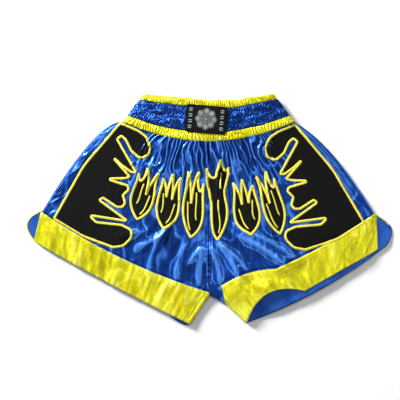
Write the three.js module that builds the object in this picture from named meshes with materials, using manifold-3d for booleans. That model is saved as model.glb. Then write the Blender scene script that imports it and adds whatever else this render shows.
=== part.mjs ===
// Boxing shorts laid flat with their front up: two satin legs, a gathered elastic waistband,
// wide hem bands with side slits, and cut-out appliques edged with satin stitch.
// Millimetres, +Z up, the wearer's waist towards +Y. The origin is the middle of the footprint,
// on the surface that the shorts lie on.
import * as THREE from "three";
import { mergeVertices } from "three/addons/utils/BufferGeometryUtils.js";
import loadManifold from "manifold-3d";

const wasm = await loadManifold();
wasm.setup();

// ---------------------------------------------------------------- driving dimensions
// Waistband, lying flat. "Sag" is how far the middle of an edge hangs below its two ends.
const waistTopWidth = 220;
const waistLowWidth = 290;
const waistTopSag = 16;
const waistLowSag = 34;
const rowTop = 14; // yellow casing, one elastic
const rowMiddle = 42; // blue casing, two elastics
const rowLow = 16; // yellow casing, one elastic
const endLean = 0.86; // the band's height at its ends as a share of that in the middle

// Legs. The front rise runs from the crotch to the waistband along the centre seam.
const frontRise = 260;
const inseamLength = 60;
const hemWidth = 300; // one layer of one leg, measured flat
const gussetHalfWidth = 12;
const gussetHeight = 24;
const gussetShare = 0.9; // the centre seam reaches the gusset at this share of its length

// How each leg lies. Angles are in degrees and widths are shares of hemWidth. The crotch is measured
// outwards from the centre seam. A bow is how far a hem, or the top of its band, hangs below the
// line between its corners.
// A side seam stands out by its bulge, most of it near a share of its length called the pull.
// A slit has the length of its edge and its lean. The mouth is the part of a front hem that is drawn
// up, so that the inside of the back shows under it.
const legLay = {
  left: {
    side: -1,
    crotch: [-3, 1],
    inseamAngle: 33,
    hemAngle: 28,
    front: { share: 1.005, bow: 3, topBow: 12 },
    back: { share: 1.06, bow: 5, topBow: 10 },
    slit: [49, 14],
    sideBulge: 18,
    sidePull: 0.12,
    mouthLift: 0,
  },
  right: {
    side: 1,
    crotch: [20, -8],
    inseamAngle: 48,
    hemAngle: 29.5,
    front: { share: 0.85, bow: 0, topBow: 12 },
    back: { share: 0.965, bow: 12, topBow: 12 },
    slit: [56, 2],
    sideBulge: 13.5,
    sidePull: 0.3,
    mouthLift: 28,
  },
};
const mouthShare = 0.44; // the share of the hem that the mouth takes
const mouthRound = 0.85; // 1 gives the mouth the shape of a sine, and less makes it fuller
const mouthTopShare = 0.36; // the same for the top of the hem band above it
const mouthFade = 0.42; // how much of the lift is left at the top of the hem band

// Cloth and its layers, from the surface up.
const gap = 0.3; // running gap between pieces that touch
const cloth = 1.2; // satin with its facing
const overlay = 0.8; // applique cloth and hem bands
const stitch = 0.6; // height of a satin-stitch border
const borderWidth = 2.4;
const sharpTurn = 50; // degrees; a border is joined at a sharper turn and mitred at a gentler one
const loft = 12; // clear height between the two layers of a leg
const seamSlope = 7; // how far the cloth runs in as it turns over a side edge

// Waistband build-up through its thickness.
const casingPly = 0.9;
const casingFold = 1.2;
const elasticThickness = 1.4;

const labelSize = [68, 45];
const labelCorner = 4;
const labelTurn = -5; // degrees
const labelOffset = -4; // from the centre seam, towards the left leg
const labelThickness = 1;
const emblemRadius = 18;
const sizeTab = [30, 24];

// ---------------------------------------------------------------- heights
const backHemZ = 0;
const backZ = overlay + gap;
const innerFloorZ = backZ + cloth;
const frontZ = innerFloorZ + loft;
const overlayZ = frontZ + cloth + gap;
const borderZ = overlayZ + overlay + gap;
const bandWall = 2 * casingPly + 2 * gap + elasticThickness;
const bandDepth = borderZ + stitch;
const labelZ = bandDepth + gap;

// ---------------------------------------------------------------- materials
const finish = (color, roughness) => new THREE.MeshStandardMaterial({ color, roughness, metalness: 0 });
const blueSatin = finish(0x1d4fc4, 0.32);
const yellowSatin = finish(0xe3e01e, 0.36);
const blackCloth = finish(0x131513, 0.8);
const yellowThread = finish(0xf0ee3c, 0.45);
const elasticWeb = finish(0xe6e4dc, 0.85);
const labelCloth = finish(0x0d0d0f, 0.75);
const greyThread = finish(0xaeb8ae, 0.6);

// ---------------------------------------------------------------- small geometry helpers
const lerp = (a, b, t) => a + (b - a) * t;
const mix = (p, q, t) => [lerp(p[0], q[0], t), lerp(p[1], q[1], t)];
const radians = (degrees) => (degrees * Math.PI) / 180;
const shares = (count) => Array.from({ length: count + 1 }, (_, i) => i / count);
const smoothstep = (a, b, x) => THREE.MathUtils.smoothstep(x, a, b);

// A flat piece of cloth: a plan outline given a thickness.
function plate(outline, z, thickness) {
  const shape = new THREE.Shape(outline.map(([x, y]) => new THREE.Vector2(x, y)));
  const body = new THREE.ExtrudeGeometry(shape, { depth: thickness, bevelEnabled: false });
  return body.translate(0, 0, z);
}

// A section carried through stations. Each station turns a section point into [x, y, z].
function sweep(stations, section, closed) {
  const positions = stations.flatMap((place) => section.flatMap(([a, b]) => place(a, b)));
  const width = section.length;
  const faces = [];
  const last = closed ? stations.length : stations.length - 1;
  for (let i = 0; i < last; i++) {
    const here = i * width;
    const next = ((i + 1) % stations.length) * width;
    for (let k = 0; k < width; k++) {
      const m = (k + 1) % width;
      faces.push(here + k, next + k, next + m, here + k, next + m, here + m);
    }
  }
  if (!closed) {
    const cap = THREE.ShapeUtils.triangulateShape(section.map(([a, b]) => new THREE.Vector2(a, b)), []);
    const end = (stations.length - 1) * width;
    for (const [a, b, c] of cap) faces.push(a, b, c, end + a, end + c, end + b);
  }
  const geometry = new THREE.BufferGeometry();
  geometry.setAttribute("position", new THREE.Float32BufferAttribute(positions, 3));
  geometry.setIndex(faces);
  return facingOut(geometry);
}

// The same closed mesh with its faces turned outwards, whichever way its section ran.
function facingOut(geometry) {
  const { array } = geometry.attributes.position;
  const index = geometry.index.array;
  const corner = (i) => new THREE.Vector3().fromArray(array, 3 * index[i]);
  let volume = 0;
  for (let i = 0; i < index.length; i += 3)
    volume += corner(i).dot(corner(i + 1).cross(corner(i + 2)));
  if (volume < 0)
    for (let i = 0; i < index.length; i += 3) [index[i + 1], index[i + 2]] = [index[i + 2], index[i + 1]];
  geometry.computeVertexNormals();
  return geometry;
}

// A closed geometry as a solid that can be joined, and a solid's mesh as a geometry again.
function solidOf(geometry) {
  geometry.deleteAttribute("normal");
  const welded = mergeVertices(geometry, 1e-5);
  const vertProperties = welded.attributes.position.array;
  const triVerts = Uint32Array.from(welded.index.array);
  return new wasm.Manifold(new wasm.Mesh({ numProp: 3, vertProperties, triVerts }));
}

function geometryOf(solid) {
  const { vertProperties, triVerts } = solid.getMesh();
  const geometry = new THREE.BufferGeometry();
  geometry.setAttribute("position", new THREE.BufferAttribute(vertProperties, 3));
  geometry.setIndex(new THREE.BufferAttribute(triVerts, 1));
  geometry.computeVertexNormals();
  return geometry;
}

// A narrow border centred on a closed outline. It is a run of strips, one from each sharp corner to
// the next, joined where they meet. Gentle corners inside a strip are mitred.
function border(outline, width, z, height) {
  const n = outline.length;
  const half = width / 2;
  const at = (i) => new THREE.Vector2(...outline[(i + n) % n]);
  const heading = (i) => at(i + 1).sub(at(i)).normalize();
  const section = [[-half, z], [half, z], [half, z + height], [-half, z + height]];
  const sharp = shares(n - 1).map((_, i) => i)
    .filter((i) => heading(i - 1).dot(heading(i)) < Math.cos(radians(sharpTurn)));
  const strips = sharp.map((from, k) => {
    const to = k + 1 < sharp.length ? sharp[k + 1] : sharp[0] + n;
    const stations = shares(to - from).map((_, j) => {
      const i = from + j;
      const end = i === from ? -1 : i === to ? 1 : 0;
      const into = end < 0 ? heading(i) : heading(i - 1);
      const out = end > 0 ? heading(i - 1) : heading(i);
      const across = new THREE.Vector2(-(into.y + out.y), into.x + out.x).normalize();
      const reach = 1 / across.dot(new THREE.Vector2(-into.y, into.x));
      const here = at(i).addScaledVector(into, end * half);
      return (a, b) => [here.x + across.x * a * reach, here.y + across.y * a * reach, b];
    });
    return solidOf(sweep(stations, section, false));
  });
  return geometryOf(wasm.Manifold.union(strips));
}

// A polygon whose corners are rounded. Each corner is [x, y, radius]; an arc takes a few points.
function rounded(corners, arcSteps = 3) {
  const n = corners.length;
  return corners.flatMap(([x, y, radius], i) => {
    const at = new THREE.Vector2(x, y);
    const to = (other) => new THREE.Vector2(other[0], other[1]).sub(at);
    const before = to(corners[(i + n - 1) % n]);
    const after = to(corners[(i + 1) % n]);
    const half = before.angleTo(after) / 2;
    if (!radius) return [[x, y]];
    const longest = 0.48 * Math.min(before.length(), after.length());
    const run = Math.min(radius / Math.tan(half), longest);
    const start = at.clone().add(before.setLength(run));
    const end = at.clone().add(after.setLength(run));
    // A rational quadratic with this weight is a true circular arc.
    const weight = Math.sin(half);
    return shares(arcSteps).map((t) => {
      const parts = [(1 - t) ** 2, 2 * t * (1 - t) * weight, t ** 2];
      const sum = parts[0] + parts[1] + parts[2];
      return [start, at, end]
        .reduce(([px, py], p, k) => [px + (p.x * parts[k]) / sum, py + (p.y * parts[k]) / sum], [0, 0]);
    });
  });
}

// ---------------------------------------------------------------- the waistband's own shape
const bandHeight = rowTop + rowMiddle + rowLow;
const waistLowY = frontRise; // on the centre seam
const waistTopY = frontRise + bandHeight;
const waistLowEndY = waistLowY + waistLowSag;
const waistTopEndY = waistTopY + waistTopSag;

// Half width, and the plan height at a share across, at v mm below the band's top edge.
const bandHalfWidth = (v) => lerp(waistTopWidth, waistLowWidth, v / bandHeight) / 2;
function bandY(v, across) {
  const middle = lerp(waistTopY, waistLowY, v / bandHeight);
  const end = lerp(waistLowEndY + (waistTopEndY - waistLowEndY) * endLean, waistLowEndY, v / bandHeight);
  return lerp(middle, end, across ** 2);
}

// The loop that each row follows: the front run, an end, the back run and the other end.
const runSteps = 10;
const endSteps = 3;
const bandRadius = bandDepth / 2;
function bandStations() {
  const straight = shares(runSteps).map((s) => 2 * s - 1);
  const turn = shares(endSteps + 1).slice(1, -1).map((s) => Math.PI * (0.5 - s));
  return [
    ...straight.map((s) => ({ run: s, angle: Math.PI / 2, end: 0 })),
    ...turn.map((a) => ({ run: 1, angle: a, end: 1 })),
    ...straight.map((s) => ({ run: -s, angle: -Math.PI / 2, end: 0 })),
    ...turn.map((a) => ({ run: -1, angle: -a, end: -1 })),
  ];
}

// A ring in the waistband. The section is in [mm below the top edge, mm in from the outside].
function bandRing(section) {
  const stations = bandStations().map(({ run, angle, end }) => (v, depth) => {
    const radius = bandRadius - depth;
    const straightHalf = bandHalfWidth(v) - bandRadius;
    const x = run * straightHalf + end * radius * Math.cos(angle);
    const across = Math.min(1, Math.abs(x) / bandHalfWidth(v));
    return [x, bandY(v, across), bandRadius + radius * Math.sin(angle)];
  });
  return sweep(stations, section, true);
}

// A casing is cloth folded over its elastic: two plies, closed at the top and stitched below.
function casing(top, low) {
  const inner = bandWall - casingPly;
  return bandRing([
    [top, 0],
    [low, 0],
    [low, casingPly],
    [top + casingFold, casingPly],
    [top + casingFold, inner],
    [low, inner],
    [low, bandWall],
    [top, bandWall],
  ]);
}

function elastic(top, low) {
  const outside = casingPly + gap;
  const inside = bandWall - casingPly - gap;
  return bandRing([[top, outside], [low, outside], [low, inside], [top, inside]]);
}

// ---------------------------------------------------------------- one leg in plan
// Places are worked out from the crotch outwards, and mirrored for the left leg.
function legPlan(lay) {
  const { side, crotch, inseamAngle, hemAngle, front, back, slit, mouthLift } = lay;
  const out = ([x, y]) => [side * x, y];
  const step = ([x, y], length, degrees) => {
    return [x + length * Math.cos(radians(degrees)), y + length * Math.sin(radians(degrees))];
  };
  const inner = step(crotch, inseamLength, inseamAngle - 90);
  const frontOuter = step(inner, hemWidth * front.share, hemAngle);
  const backOuter = step(inner, hemWidth * back.share, hemAngle);
  const slitTop = step(frontOuter, slit[0], 90 + slit[1]);

  // The side seam is a quadratic curve; distance moves a point in from it.
  const waistEnd = [waistLowWidth / 2, waistLowEndY];
  const chord = new THREE.Vector2(slitTop[0] - waistEnd[0], slitTop[1] - waistEnd[1]).normalize();
  const pull = lay.sidePull;
  const under = mix(waistEnd, slitTop, pull);
  const control = [under[0] - chord.y * 2 * lay.sideBulge, under[1] + chord.x * 2 * lay.sideBulge];
  const sideSeam = (share, distance = 0) => {
    // The curve's parameter at a share of its chord.
    const t = (Math.sqrt(pull * pull + (1 - 2 * pull) * share) - pull) / (1 - 2 * pull);
    const [p, q] = [mix(waistEnd, control, t), mix(control, slitTop, t)];
    const [x, y] = mix(p, q, t);
    const along = new THREE.Vector2(q[0] - p[0], q[1] - p[1]).normalize();
    return [x + along.y * distance, y - along.x * distance];
  };

  // A hem line from p to q: it bows down, and lifts over the mouth.
  const hemLine = (p, q, bow, lift, share = mouthShare) => (s) => {
    const opened = s < share ? lift * Math.sin((Math.PI * s) / share) ** mouthRound : 0;
    return out(step(mix(p, q, s), opened - 4 * bow * s * (1 - s), hemAngle + 90));
  };
  // The centre seam runs straight down, then out beside the gusset to the crotch.
  const centre = (t) => {
    if (t <= gussetShare) return [0, lerp(waistLowY, gussetHeight, t / gussetShare)];
    const turn = (t - gussetShare) / (1 - gussetShare);
    const knee = [2, gussetHeight - 2];
    return out(mix(mix([0, gussetHeight], knee, turn), mix(knee, crotch, turn), turn));
  };
  return {
    side,
    centre,
    crotch: out(crotch),
    inner: out(inner),
    slitTop: out(slitTop),
    frontOuter: out(frontOuter),
    backOuter: out(backOuter),
    waist: (s) => out([(s * waistLowWidth) / 2, lerp(waistLowY, waistLowEndY, s * s)]),
    sideSeam: (t, distance) => out(sideSeam(t, distance)),
    frontHem: hemLine(inner, frontOuter, front.bow, mouthLift),
    backHem: hemLine(inner, backOuter, back.bow, 0),
    frontHemTop: hemLine(crotch, slitTop, front.topBow, mouthLift * mouthFade, mouthTopShare),
    backHemTop: hemLine(crotch, slitTop, back.topBow, 0),
  };
}
const legs = { left: legPlan(legLay.left), right: legPlan(legLay.right) };

// Cloth coordinates on the front: s runs from the centre seam (0) to a side seam (-1 left, 1 right),
// t from the waistband (0) to the hem band (1). A Coons patch over the leg's four edges.
function onFront(s, t) {
  const leg = s < 0 ? legs.left : legs.right;
  const a = Math.abs(s);
  const top = leg.waist(a);
  const bottom = leg.frontHemTop(a);
  const [left, right] = [leg.centre(t), leg.sideSeam(t)];
  const corners = [leg.waist(0), leg.waist(1), leg.centre(1), leg.frontHemTop(1)];
  return [0, 1].map((k) => {
    const edges = lerp(top[k], bottom[k], t) + lerp(left[k], right[k], a);
    return edges - lerp(lerp(corners[0][k], corners[1][k], a), lerp(corners[2][k], corners[3][k], a), t);
  });
}

// ---------------------------------------------------------------- leg panels, seams and hem bands
const sideSteps = 10;
const hemSteps = 14;
const seamEnd = 0.96; // the side seam stops just above the slit
const backInset = cloth + 4 * gap; // the back cloth stops short of the seam's foot

// How far the front cloth has turned in at a share down the side seam: less beside the slit.
const slopeAt = (t) => lerp(seamSlope, cloth, smoothstep(0.8, 1, t));
const sideShares = shares(sideSteps).map((s) => lerp(0.01, seamEnd, s));

function gussetCorners(leg) {
  return [
    [leg.side * (gussetHalfWidth + gap), gussetHeight],
    [leg.crotch[0] + leg.side * gap, leg.crotch[1]],
  ];
}

// The inseam of a leg, from the crotch to the hem, moved into the leg by some distance.
function inseam(leg, distance) {
  const along = new THREE.Vector2(leg.inner[0] - leg.crotch[0], leg.inner[1] - leg.crotch[1]).normalize();
  const d = leg.side * distance;
  return [leg.crotch, leg.inner].map(([x, y]) => [x - along.y * d, y + along.x * d]);
}

// A leg panel: waist, side seam, slit, hem, inseam, gusset notch and centre seam.
function legPanel(leg, { outer, hem, sideInset, inseamInset, z }) {
  const waistReach = 1 - bandDepth / waistLowWidth;
  const waist = shares(runSteps / 2).map((s) => leg.waist(s * waistReach));
  waist[0] = [(leg.side * gap) / 2, waist[0][1]];
  const side = [...sideShares, seamEnd + 0.01].map((t) => leg.sideSeam(t, sideInset(t)));
  const hemLine = shares(hemSteps).slice(0, -1).reverse().map((s) => hem(s)).slice(0, -1);
  const [top, crotch] = gussetCorners(leg);
  const lowered = (points) => points.map(([x, y]) => [x, y - gap]);
  return plate([
    ...lowered(waist),
    ...side,
    leg.slitTop,
    outer,
    ...hemLine,
    ...inseam(leg, inseamInset).reverse(),
    crotch,
    top,
    [(leg.side * gap) / 2, gussetHeight + gap],
  ], z, cloth);
}

function frontPanel(leg) {
  return legPanel(leg, {
    outer: leg.frontOuter,
    hem: leg.frontHem,
    sideInset: (t) => slopeAt(t) + gap,
    inseamInset: seamSlope + gap,
    z: frontZ,
  });
}

function backPanel(leg) {
  return legPanel(leg, {
    outer: leg.backOuter,
    hem: leg.backHem,
    sideInset: () => backInset,
    inseamInset: backInset,
    z: backZ,
  });
}

// A sewn edge: the cloth turning from the back layer up and in to the front layer. Each place
// gives the plan point some distance in from the edge, and how far the top has turned in.
function seamWall(places) {
  const stations = places.map(([inFromEdge, turnIn]) => (share, run) => [
    ...inFromEdge(share * (turnIn - cloth) + run),
    lerp(backZ, frontZ + cloth, share),
  ]);
  return sweep(stations, [[0, 0], [1, 0], [1, cloth], [0, cloth]], false);
}

function sideSeam(leg) {
  return seamWall(sideShares.map((t) => [(d) => leg.sideSeam(t, d), slopeAt(t)]));
}

function inseamSeam(leg) {
  return seamWall([0.08, 1].map((share) => [(d) => mix(...inseam(leg, d), share), seamSlope]));
}

// A hem band covers the lowest part of a panel, between the hem and its own top edge.
function hemBand(leg, { outer, hem, hemTop, inset, z }) {
  const low = shares(hemSteps).map((s) => hem(s)).slice(1, -1).reverse();
  const top = shares(hemSteps).map((s) => hemTop(s)).slice(1, -1);
  const [crotch, end] = inseam(leg, inset);
  const start = mix(crotch, end, 0.1);
  return plate([outer, ...low, end, start, ...top, leg.slitTop], z, overlay);
}

// The gusset is folded at the crotch: a front ply, the fold, and a back ply.
function gusset() {
  const foldShare = 0.06;
  const edge = (leg) => {
    const low = leg.crotch;
    const high = [leg.side * gussetHalfWidth, gussetHeight];
    return (a, z) => [...mix(low, high, a), z];
  };
  const section = [
    [1, frontZ + cloth],
    [0, frontZ + cloth],
    [0, backZ],
    [1, backZ],
    [1, backZ + cloth],
    [foldShare, backZ + cloth],
    [foldShare, frontZ],
    [1, frontZ],
  ];
  return sweep([edge(legs.left), edge(legs.right)], section, false);
}

// ---------------------------------------------------------------- appliques on the front
// A cut-out side panel with six tongues that reach towards the centre. Corners are
// [s, t, radius in mm] in cloth coordinates, from the waist round to the hem.
const tongueCorners = [
  [0.965, 0.03, 0], [0.77, 0.03, 6], [0.65, 0.055, 18], [0.56, 0.13, 12],
  [0.545, 0.19, 8], [0.595, 0.24, 10], [0.69, 0.21, 14], [0.785, 0.145, 6],
  [0.84, 0.13, 3], [0.85, 0.172, 3], [0.58, 0.35, 1.5], [0.615, 0.362, 6],
  [0.7, 0.345, 10], [0.83, 0.305, 1.5], [0.61, 0.4, 1.5], [0.64, 0.427, 5],
  [0.76, 0.497, 1.5], [0.65, 0.476, 8], [0.6, 0.468, 4], [0.585, 0.492, 3],
  [0.608, 0.55, 2], [0.577, 0.595, 3], [0.585, 0.632, 3], [0.617, 0.65, 6],
  [0.72, 0.637, 2], [0.737, 0.667, 2], [0.525, 0.71, 1], [0.64, 0.755, 20],
  [0.755, 0.808, 2], [0.7, 0.828, 8], [0.555, 0.757, 12], [0.487, 0.757, 12],
  [0.477, 0.81, 14], [0.51, 0.89, 16], [0.56, 0.945, 12], [0.742, 0.978, 60],
  [0.92, 0.978, 0], [0.93, 0.5, 150],
];

function tonguePanel(leg) {
  return rounded(tongueCorners.map(([s, t, radius]) => [...onFront(leg.side * s, t), radius]));
}

// Three flames as closed runs of Bezier curves in a box from -1 to 1. Each run starts at its pointed
// foot and goes up the right side, round the tongues at the top, and down the left side.
const flameDesigns = {
  hooked: [
    [0.05, -1],
    [[0.5, -0.8], [0.95, -0.5], [0.95, -0.1]],
    [[0.95, 0.3], [0.6, 0.55], [0.85, 0.95]],
    [[0.5, 0.8], [0.28, 0.4], [0.22, 0]],
    [[0.18, 0.4], [0.05, 0.8], [-0.4, 1]],
    [[-0.28, 0.75], [-0.4, 0.55], [-0.55, 0.45]],
    [[-0.68, 0.4], [-0.85, 0.5], [-0.98, 0.7]],
    [[-0.85, 0.3], [-1, 0.1], [-0.95, -0.25]],
    [[-0.9, -0.6], [-0.4, -0.85], [0.05, -1]],
  ],
  forked: [
    [-0.05, -1],
    [[0.45, -0.8], [0.95, -0.6], [0.95, -0.2]],
    [[1, 0.25], [0.62, 0.5], [0.78, 0.95]],
    [[0.45, 0.75], [0.3, 0.45], [0.25, 0.1]],
    [[0.22, 0.4], [0.12, 0.75], [-0.08, 1]],
    [[-0.22, 0.75], [-0.28, 0.4], [-0.28, 0.12]],
    [[-0.4, 0.42], [-0.6, 0.6], [-0.9, 0.72]],
    [[-0.85, 0.4], [-1, 0.1], [-0.95, -0.2]],
    [[-0.92, -0.6], [-0.5, -0.85], [-0.05, -1]],
  ],
  crest: [
    [-0.15, -1],
    [[0.3, -0.85], [0.62, -0.6], [0.58, -0.3]],
    [[0.55, -0.1], [0.45, 0], [0.48, 0.15]],
    [[0.58, 0.35], [0.85, 0.45], [1, 0.75]],
    [[0.7, 0.62], [0.5, 0.68], [0.35, 1]],
    [[0.15, 0.85], [-0.02, 0.75], [-0.15, 0.6]],
    [[-0.35, 0.55], [-0.7, 0.6], [-0.95, 0.85]],
    [[-0.95, 0.4], [-0.6, 0.2], [-0.55, -0.1]],
    [[-0.6, -0.5], [-0.5, -0.85], [-0.15, -1]],
  ],
};
const flameSteps = 4;

// The row of flames in cloth coordinates; facing mirrors a design.
const flames = [
  { design: "hooked", facing: 1, middle: [-0.477, 0.478], half: [0.08, 0.19] },
  { design: "forked", facing: 1, middle: [-0.293, 0.46], half: [0.081, 0.195] },
  { design: "hooked", facing: -1, middle: [-0.113, 0.43], half: [0.076, 0.22] },
  { design: "crest", facing: 1, middle: [0.085, 0.4], half: [0.106, 0.265] },
  { design: "forked", facing: -1, middle: [0.278, 0.505], half: [0.086, 0.2] },
  { design: "hooked", facing: -1, middle: [0.458, 0.525], half: [0.07, 0.231] },
];

function flameOutline({ design, facing, middle: [s, t], half }) {
  const [start, ...curves] = flameDesigns[design];
  const path = new THREE.Path().moveTo(...start);
  for (const [a, b, end] of curves) path.bezierCurveTo(...a, ...b, ...end);
  const points = path.getPoints(flameSteps).slice(0, -1);
  return points.map(({ x, y }) => onFront(s + facing * x * half[0], t - y * half[1]));
}

// ---------------------------------------------------------------- label, emblem and size tab
const labelMiddleY = () => bandY(rowTop + rowMiddle / 2, 0);

function turned(points, degrees, [x, y]) {
  const [c, s] = [Math.cos(radians(degrees)), Math.sin(radians(degrees))];
  return points.map(([px, py]) => [x + px * c - py * s, y + px * s + py * c]);
}

function labelOutline() {
  const [halfW, halfH] = labelSize.map((size) => size / 2);
  const corners = [[-halfW, -halfH], [halfW, -halfH], [halfW, halfH], [-halfW, halfH]];
  const outline = rounded(corners.map(([x, y]) => [x, y, labelCorner]));
  return turned(outline, labelTurn, [labelOffset, labelMiddleY()]);
}

function emblemOutline() {
  const lobes = 8;
  const points = shares(4 * lobes).slice(0, -1).map((share) => {
    const angle = 2 * Math.PI * share;
    const radius = emblemRadius * (1 + 0.07 * Math.cos(lobes * angle));
    return [radius * Math.cos(angle), radius * Math.sin(angle)];
  });
  return turned(points, labelTurn, [labelOffset, labelMiddleY()]);
}

function sizeTabOutline() {
  const [width, height] = sizeTab;
  const top = bandY(bandHeight, 0) + height;
  return [[-width / 2, top - height], [width / 2, top - height], [width / 2, top], [-width / 2, top]];
}

// ---------------------------------------------------------------- assembly
const shorts = new THREE.Group();

function add(name, geometry, material) {
  const mesh = new THREE.Mesh(geometry, material);
  mesh.name = name;
  shorts.add(mesh);
}

const middleStart = rowTop + gap;
const middleEnd = rowTop + rowMiddle;
const lowStart = middleEnd + gap;
const seat = casingFold + gap; // an elastic starts this far below its casing's fold
const middleHalf = (rowMiddle - seat - 3 * gap) / 2;
add("waist_casing_top", casing(0, rowTop), yellowSatin);
add("waist_casing_middle", casing(middleStart, middleEnd), blueSatin);
add("waist_casing_low", casing(lowStart, bandHeight), yellowSatin);
add("elastic_1", elastic(seat, rowTop - gap), elasticWeb);
add("elastic_2", elastic(middleStart + seat, middleStart + seat + middleHalf - gap), elasticWeb);
add("elastic_3", elastic(middleStart + seat + middleHalf, middleEnd - gap), elasticWeb);
add("elastic_4", elastic(lowStart + seat, bandHeight - gap), elasticWeb);
add("waist_label", plate(labelOutline(), labelZ, labelThickness), labelCloth);
add("label_emblem", plate(emblemOutline(), labelZ + labelThickness + gap, stitch), greyThread);
add("size_tab", plate(sizeTabOutline(), bandWall + gap, overlay), labelCloth);

for (const [name, leg] of Object.entries(legs)) {
  add(`front_panel_${name}`, frontPanel(leg), blueSatin);
  add(`back_panel_${name}`, backPanel(leg), blueSatin);
  add(`side_seam_${name}`, sideSeam(leg), blueSatin);
  add(`inseam_${name}`, inseamSeam(leg), blueSatin);
  const front = { outer: leg.frontOuter, hem: leg.frontHem, hemTop: leg.frontHemTop };
  const back = { outer: leg.backOuter, hem: leg.backHem, hemTop: leg.backHemTop };
  add(`hem_band_front_${name}`, hemBand(leg, { ...front, inset: seamSlope + gap, z: overlayZ }), yellowSatin);
  add(`hem_band_back_${name}`, hemBand(leg, { ...back, inset: backInset, z: backHemZ }), yellowSatin);
  const outline = tonguePanel(leg);
  add(`applique_${name}`, plate(outline, overlayZ, overlay), blackCloth);
  add(`applique_border_${name}`, border(outline, borderWidth, borderZ, stitch), yellowThread);
}
add("crotch_gusset", gusset(), blueSatin);

flames.forEach((flame, i) => {
  const outline = flameOutline(flame);
  add(`flame_${i + 1}`, plate(outline, overlayZ, overlay), blackCloth);
  add(`flame_border_${i + 1}`, border(outline, borderWidth, borderZ, stitch), yellowThread);
});

// Every geometry is one welded surface, and the footprint's middle is the origin.
const footprint = new THREE.Box3().setFromObject(shorts);
const middle = footprint.getCenter(new THREE.Vector3());
shorts.traverse((mesh) => {
  if (!mesh.isMesh) return;
  mesh.geometry.deleteAttribute("uv");
  mesh.geometry.deleteAttribute("normal");
  mesh.geometry = mergeVertices(mesh.geometry);
  mesh.geometry.computeVertexNormals();
  mesh.position.set(-middle.x, -middle.y, -footprint.min.z);
});

export default shorts;
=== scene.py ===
# %% [markdown]
# # Satin boxing shorts, laid flat
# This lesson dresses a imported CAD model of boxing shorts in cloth. The CAD nodes give the true
# outline and the place of every piece. Each of them is replaced here by a piece of cloth, thread
# or webbing that is worked out with numpy and laid over one shared drape. Lengths are in
# millimetres in the sums, and become metres when a mesh is made.

import bmesh
import bpy
import numpy as np
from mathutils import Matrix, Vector
from mathutils.geometry import delaunay_2d_cdt


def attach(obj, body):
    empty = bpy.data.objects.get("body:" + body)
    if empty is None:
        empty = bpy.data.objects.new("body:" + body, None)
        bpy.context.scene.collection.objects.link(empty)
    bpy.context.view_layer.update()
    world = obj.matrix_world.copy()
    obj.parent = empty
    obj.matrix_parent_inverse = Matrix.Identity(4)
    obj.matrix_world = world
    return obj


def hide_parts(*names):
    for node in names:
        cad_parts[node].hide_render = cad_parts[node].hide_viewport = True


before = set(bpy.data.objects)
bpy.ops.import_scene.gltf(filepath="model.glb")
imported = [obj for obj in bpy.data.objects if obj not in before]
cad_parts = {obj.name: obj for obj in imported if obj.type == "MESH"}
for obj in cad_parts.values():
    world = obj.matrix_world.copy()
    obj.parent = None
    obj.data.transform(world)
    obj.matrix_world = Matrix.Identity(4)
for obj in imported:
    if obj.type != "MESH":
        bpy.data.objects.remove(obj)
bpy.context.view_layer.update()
scene = bpy.context.scene
MM = 0.001

# %% [markdown]
# ## Camera
# The shorts lie on a white table and are seen from straight above. A long lens well above them
# keeps the outline almost free of perspective.

# %% Camera
FIELD = 680.0  # how much of the table the camera sees from side to side, in mm
EYE_HEIGHT = 1500.0
LOOK_AT = (-17.5, 16.0)
SENSOR = 36.0

camera = bpy.data.objects.new("camera", bpy.data.cameras.new("camera"))
camera.data.sensor_width = SENSOR
camera.data.lens = SENSOR * EYE_HEIGHT / FIELD
camera.data.clip_end = 20
camera.location = Vector((*LOOK_AT, EYE_HEIGHT)) * MM
scene.collection.objects.link(camera)
scene.camera = camera
print("lens:", round(camera.data.lens, 1), "mm")

# %% [markdown]
# ## Lamps and room
# Satin only looks like satin when there is something to mirror. One fairly small soft lamp stands
# to the upper left and gives crisp highlights, and two weak ones fill in. The room is bright to
# the left and dark to the right, so that the two flanks of a fold mirror different things.

# %% Lamps and room
LAMPS = {  # each square lamp's place in mm, its size in mm and its power in watts
    "key": ((-2050, 1950, 1250), 800, 205),
    "fill": ((1400, -500, 1700), 1500, 7),
    "top": ((200, 1100, 2300), 600, 11),
}
for name, (place, size, power) in LAMPS.items():
    lamp = bpy.data.objects.new(name, bpy.data.lights.new(name, "AREA"))
    lamp.data.size = size * MM
    lamp.data.energy = power
    lamp.location = Vector(place) * MM
    lamp.rotation_euler = (-lamp.location).to_track_quat("-Z", "Y").to_euler()
    scene.collection.objects.link(lamp)

world = bpy.data.worlds.new("room")
world.use_nodes = True
room = world.node_tree.nodes
direction = room.new("ShaderNodeTexCoord")
axes = room.new("ShaderNodeSeparateXYZ")
falloff = room.new("ShaderNodeMapRange")
falloff.interpolation_type = "SMOOTHSTEP"
for socket, value in (("From Min", 0.3), ("From Max", -0.55), ("To Min", 0.03), ("To Max", 0.42)):
    falloff.inputs[socket].default_value = value
world.node_tree.links.new(direction.outputs["Generated"], axes.inputs[0])
world.node_tree.links.new(axes.outputs["X"], falloff.inputs["Value"])
world.node_tree.links.new(falloff.outputs[0], room["Background"].inputs["Strength"])
room["Background"].inputs["Color"].default_value = (0.95, 0.97, 1.0, 1)
scene.world = world
scene.view_settings.view_transform = "Standard"
print("lamps:", ", ".join(LAMPS))

# %% [markdown]
# ## Mesh helpers
# Every piece is an array of points on a grid or a list of points and faces. The grid's own
# parameters are kept as a UV map in metres, so that a weave or a stitch has its true size.

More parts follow.
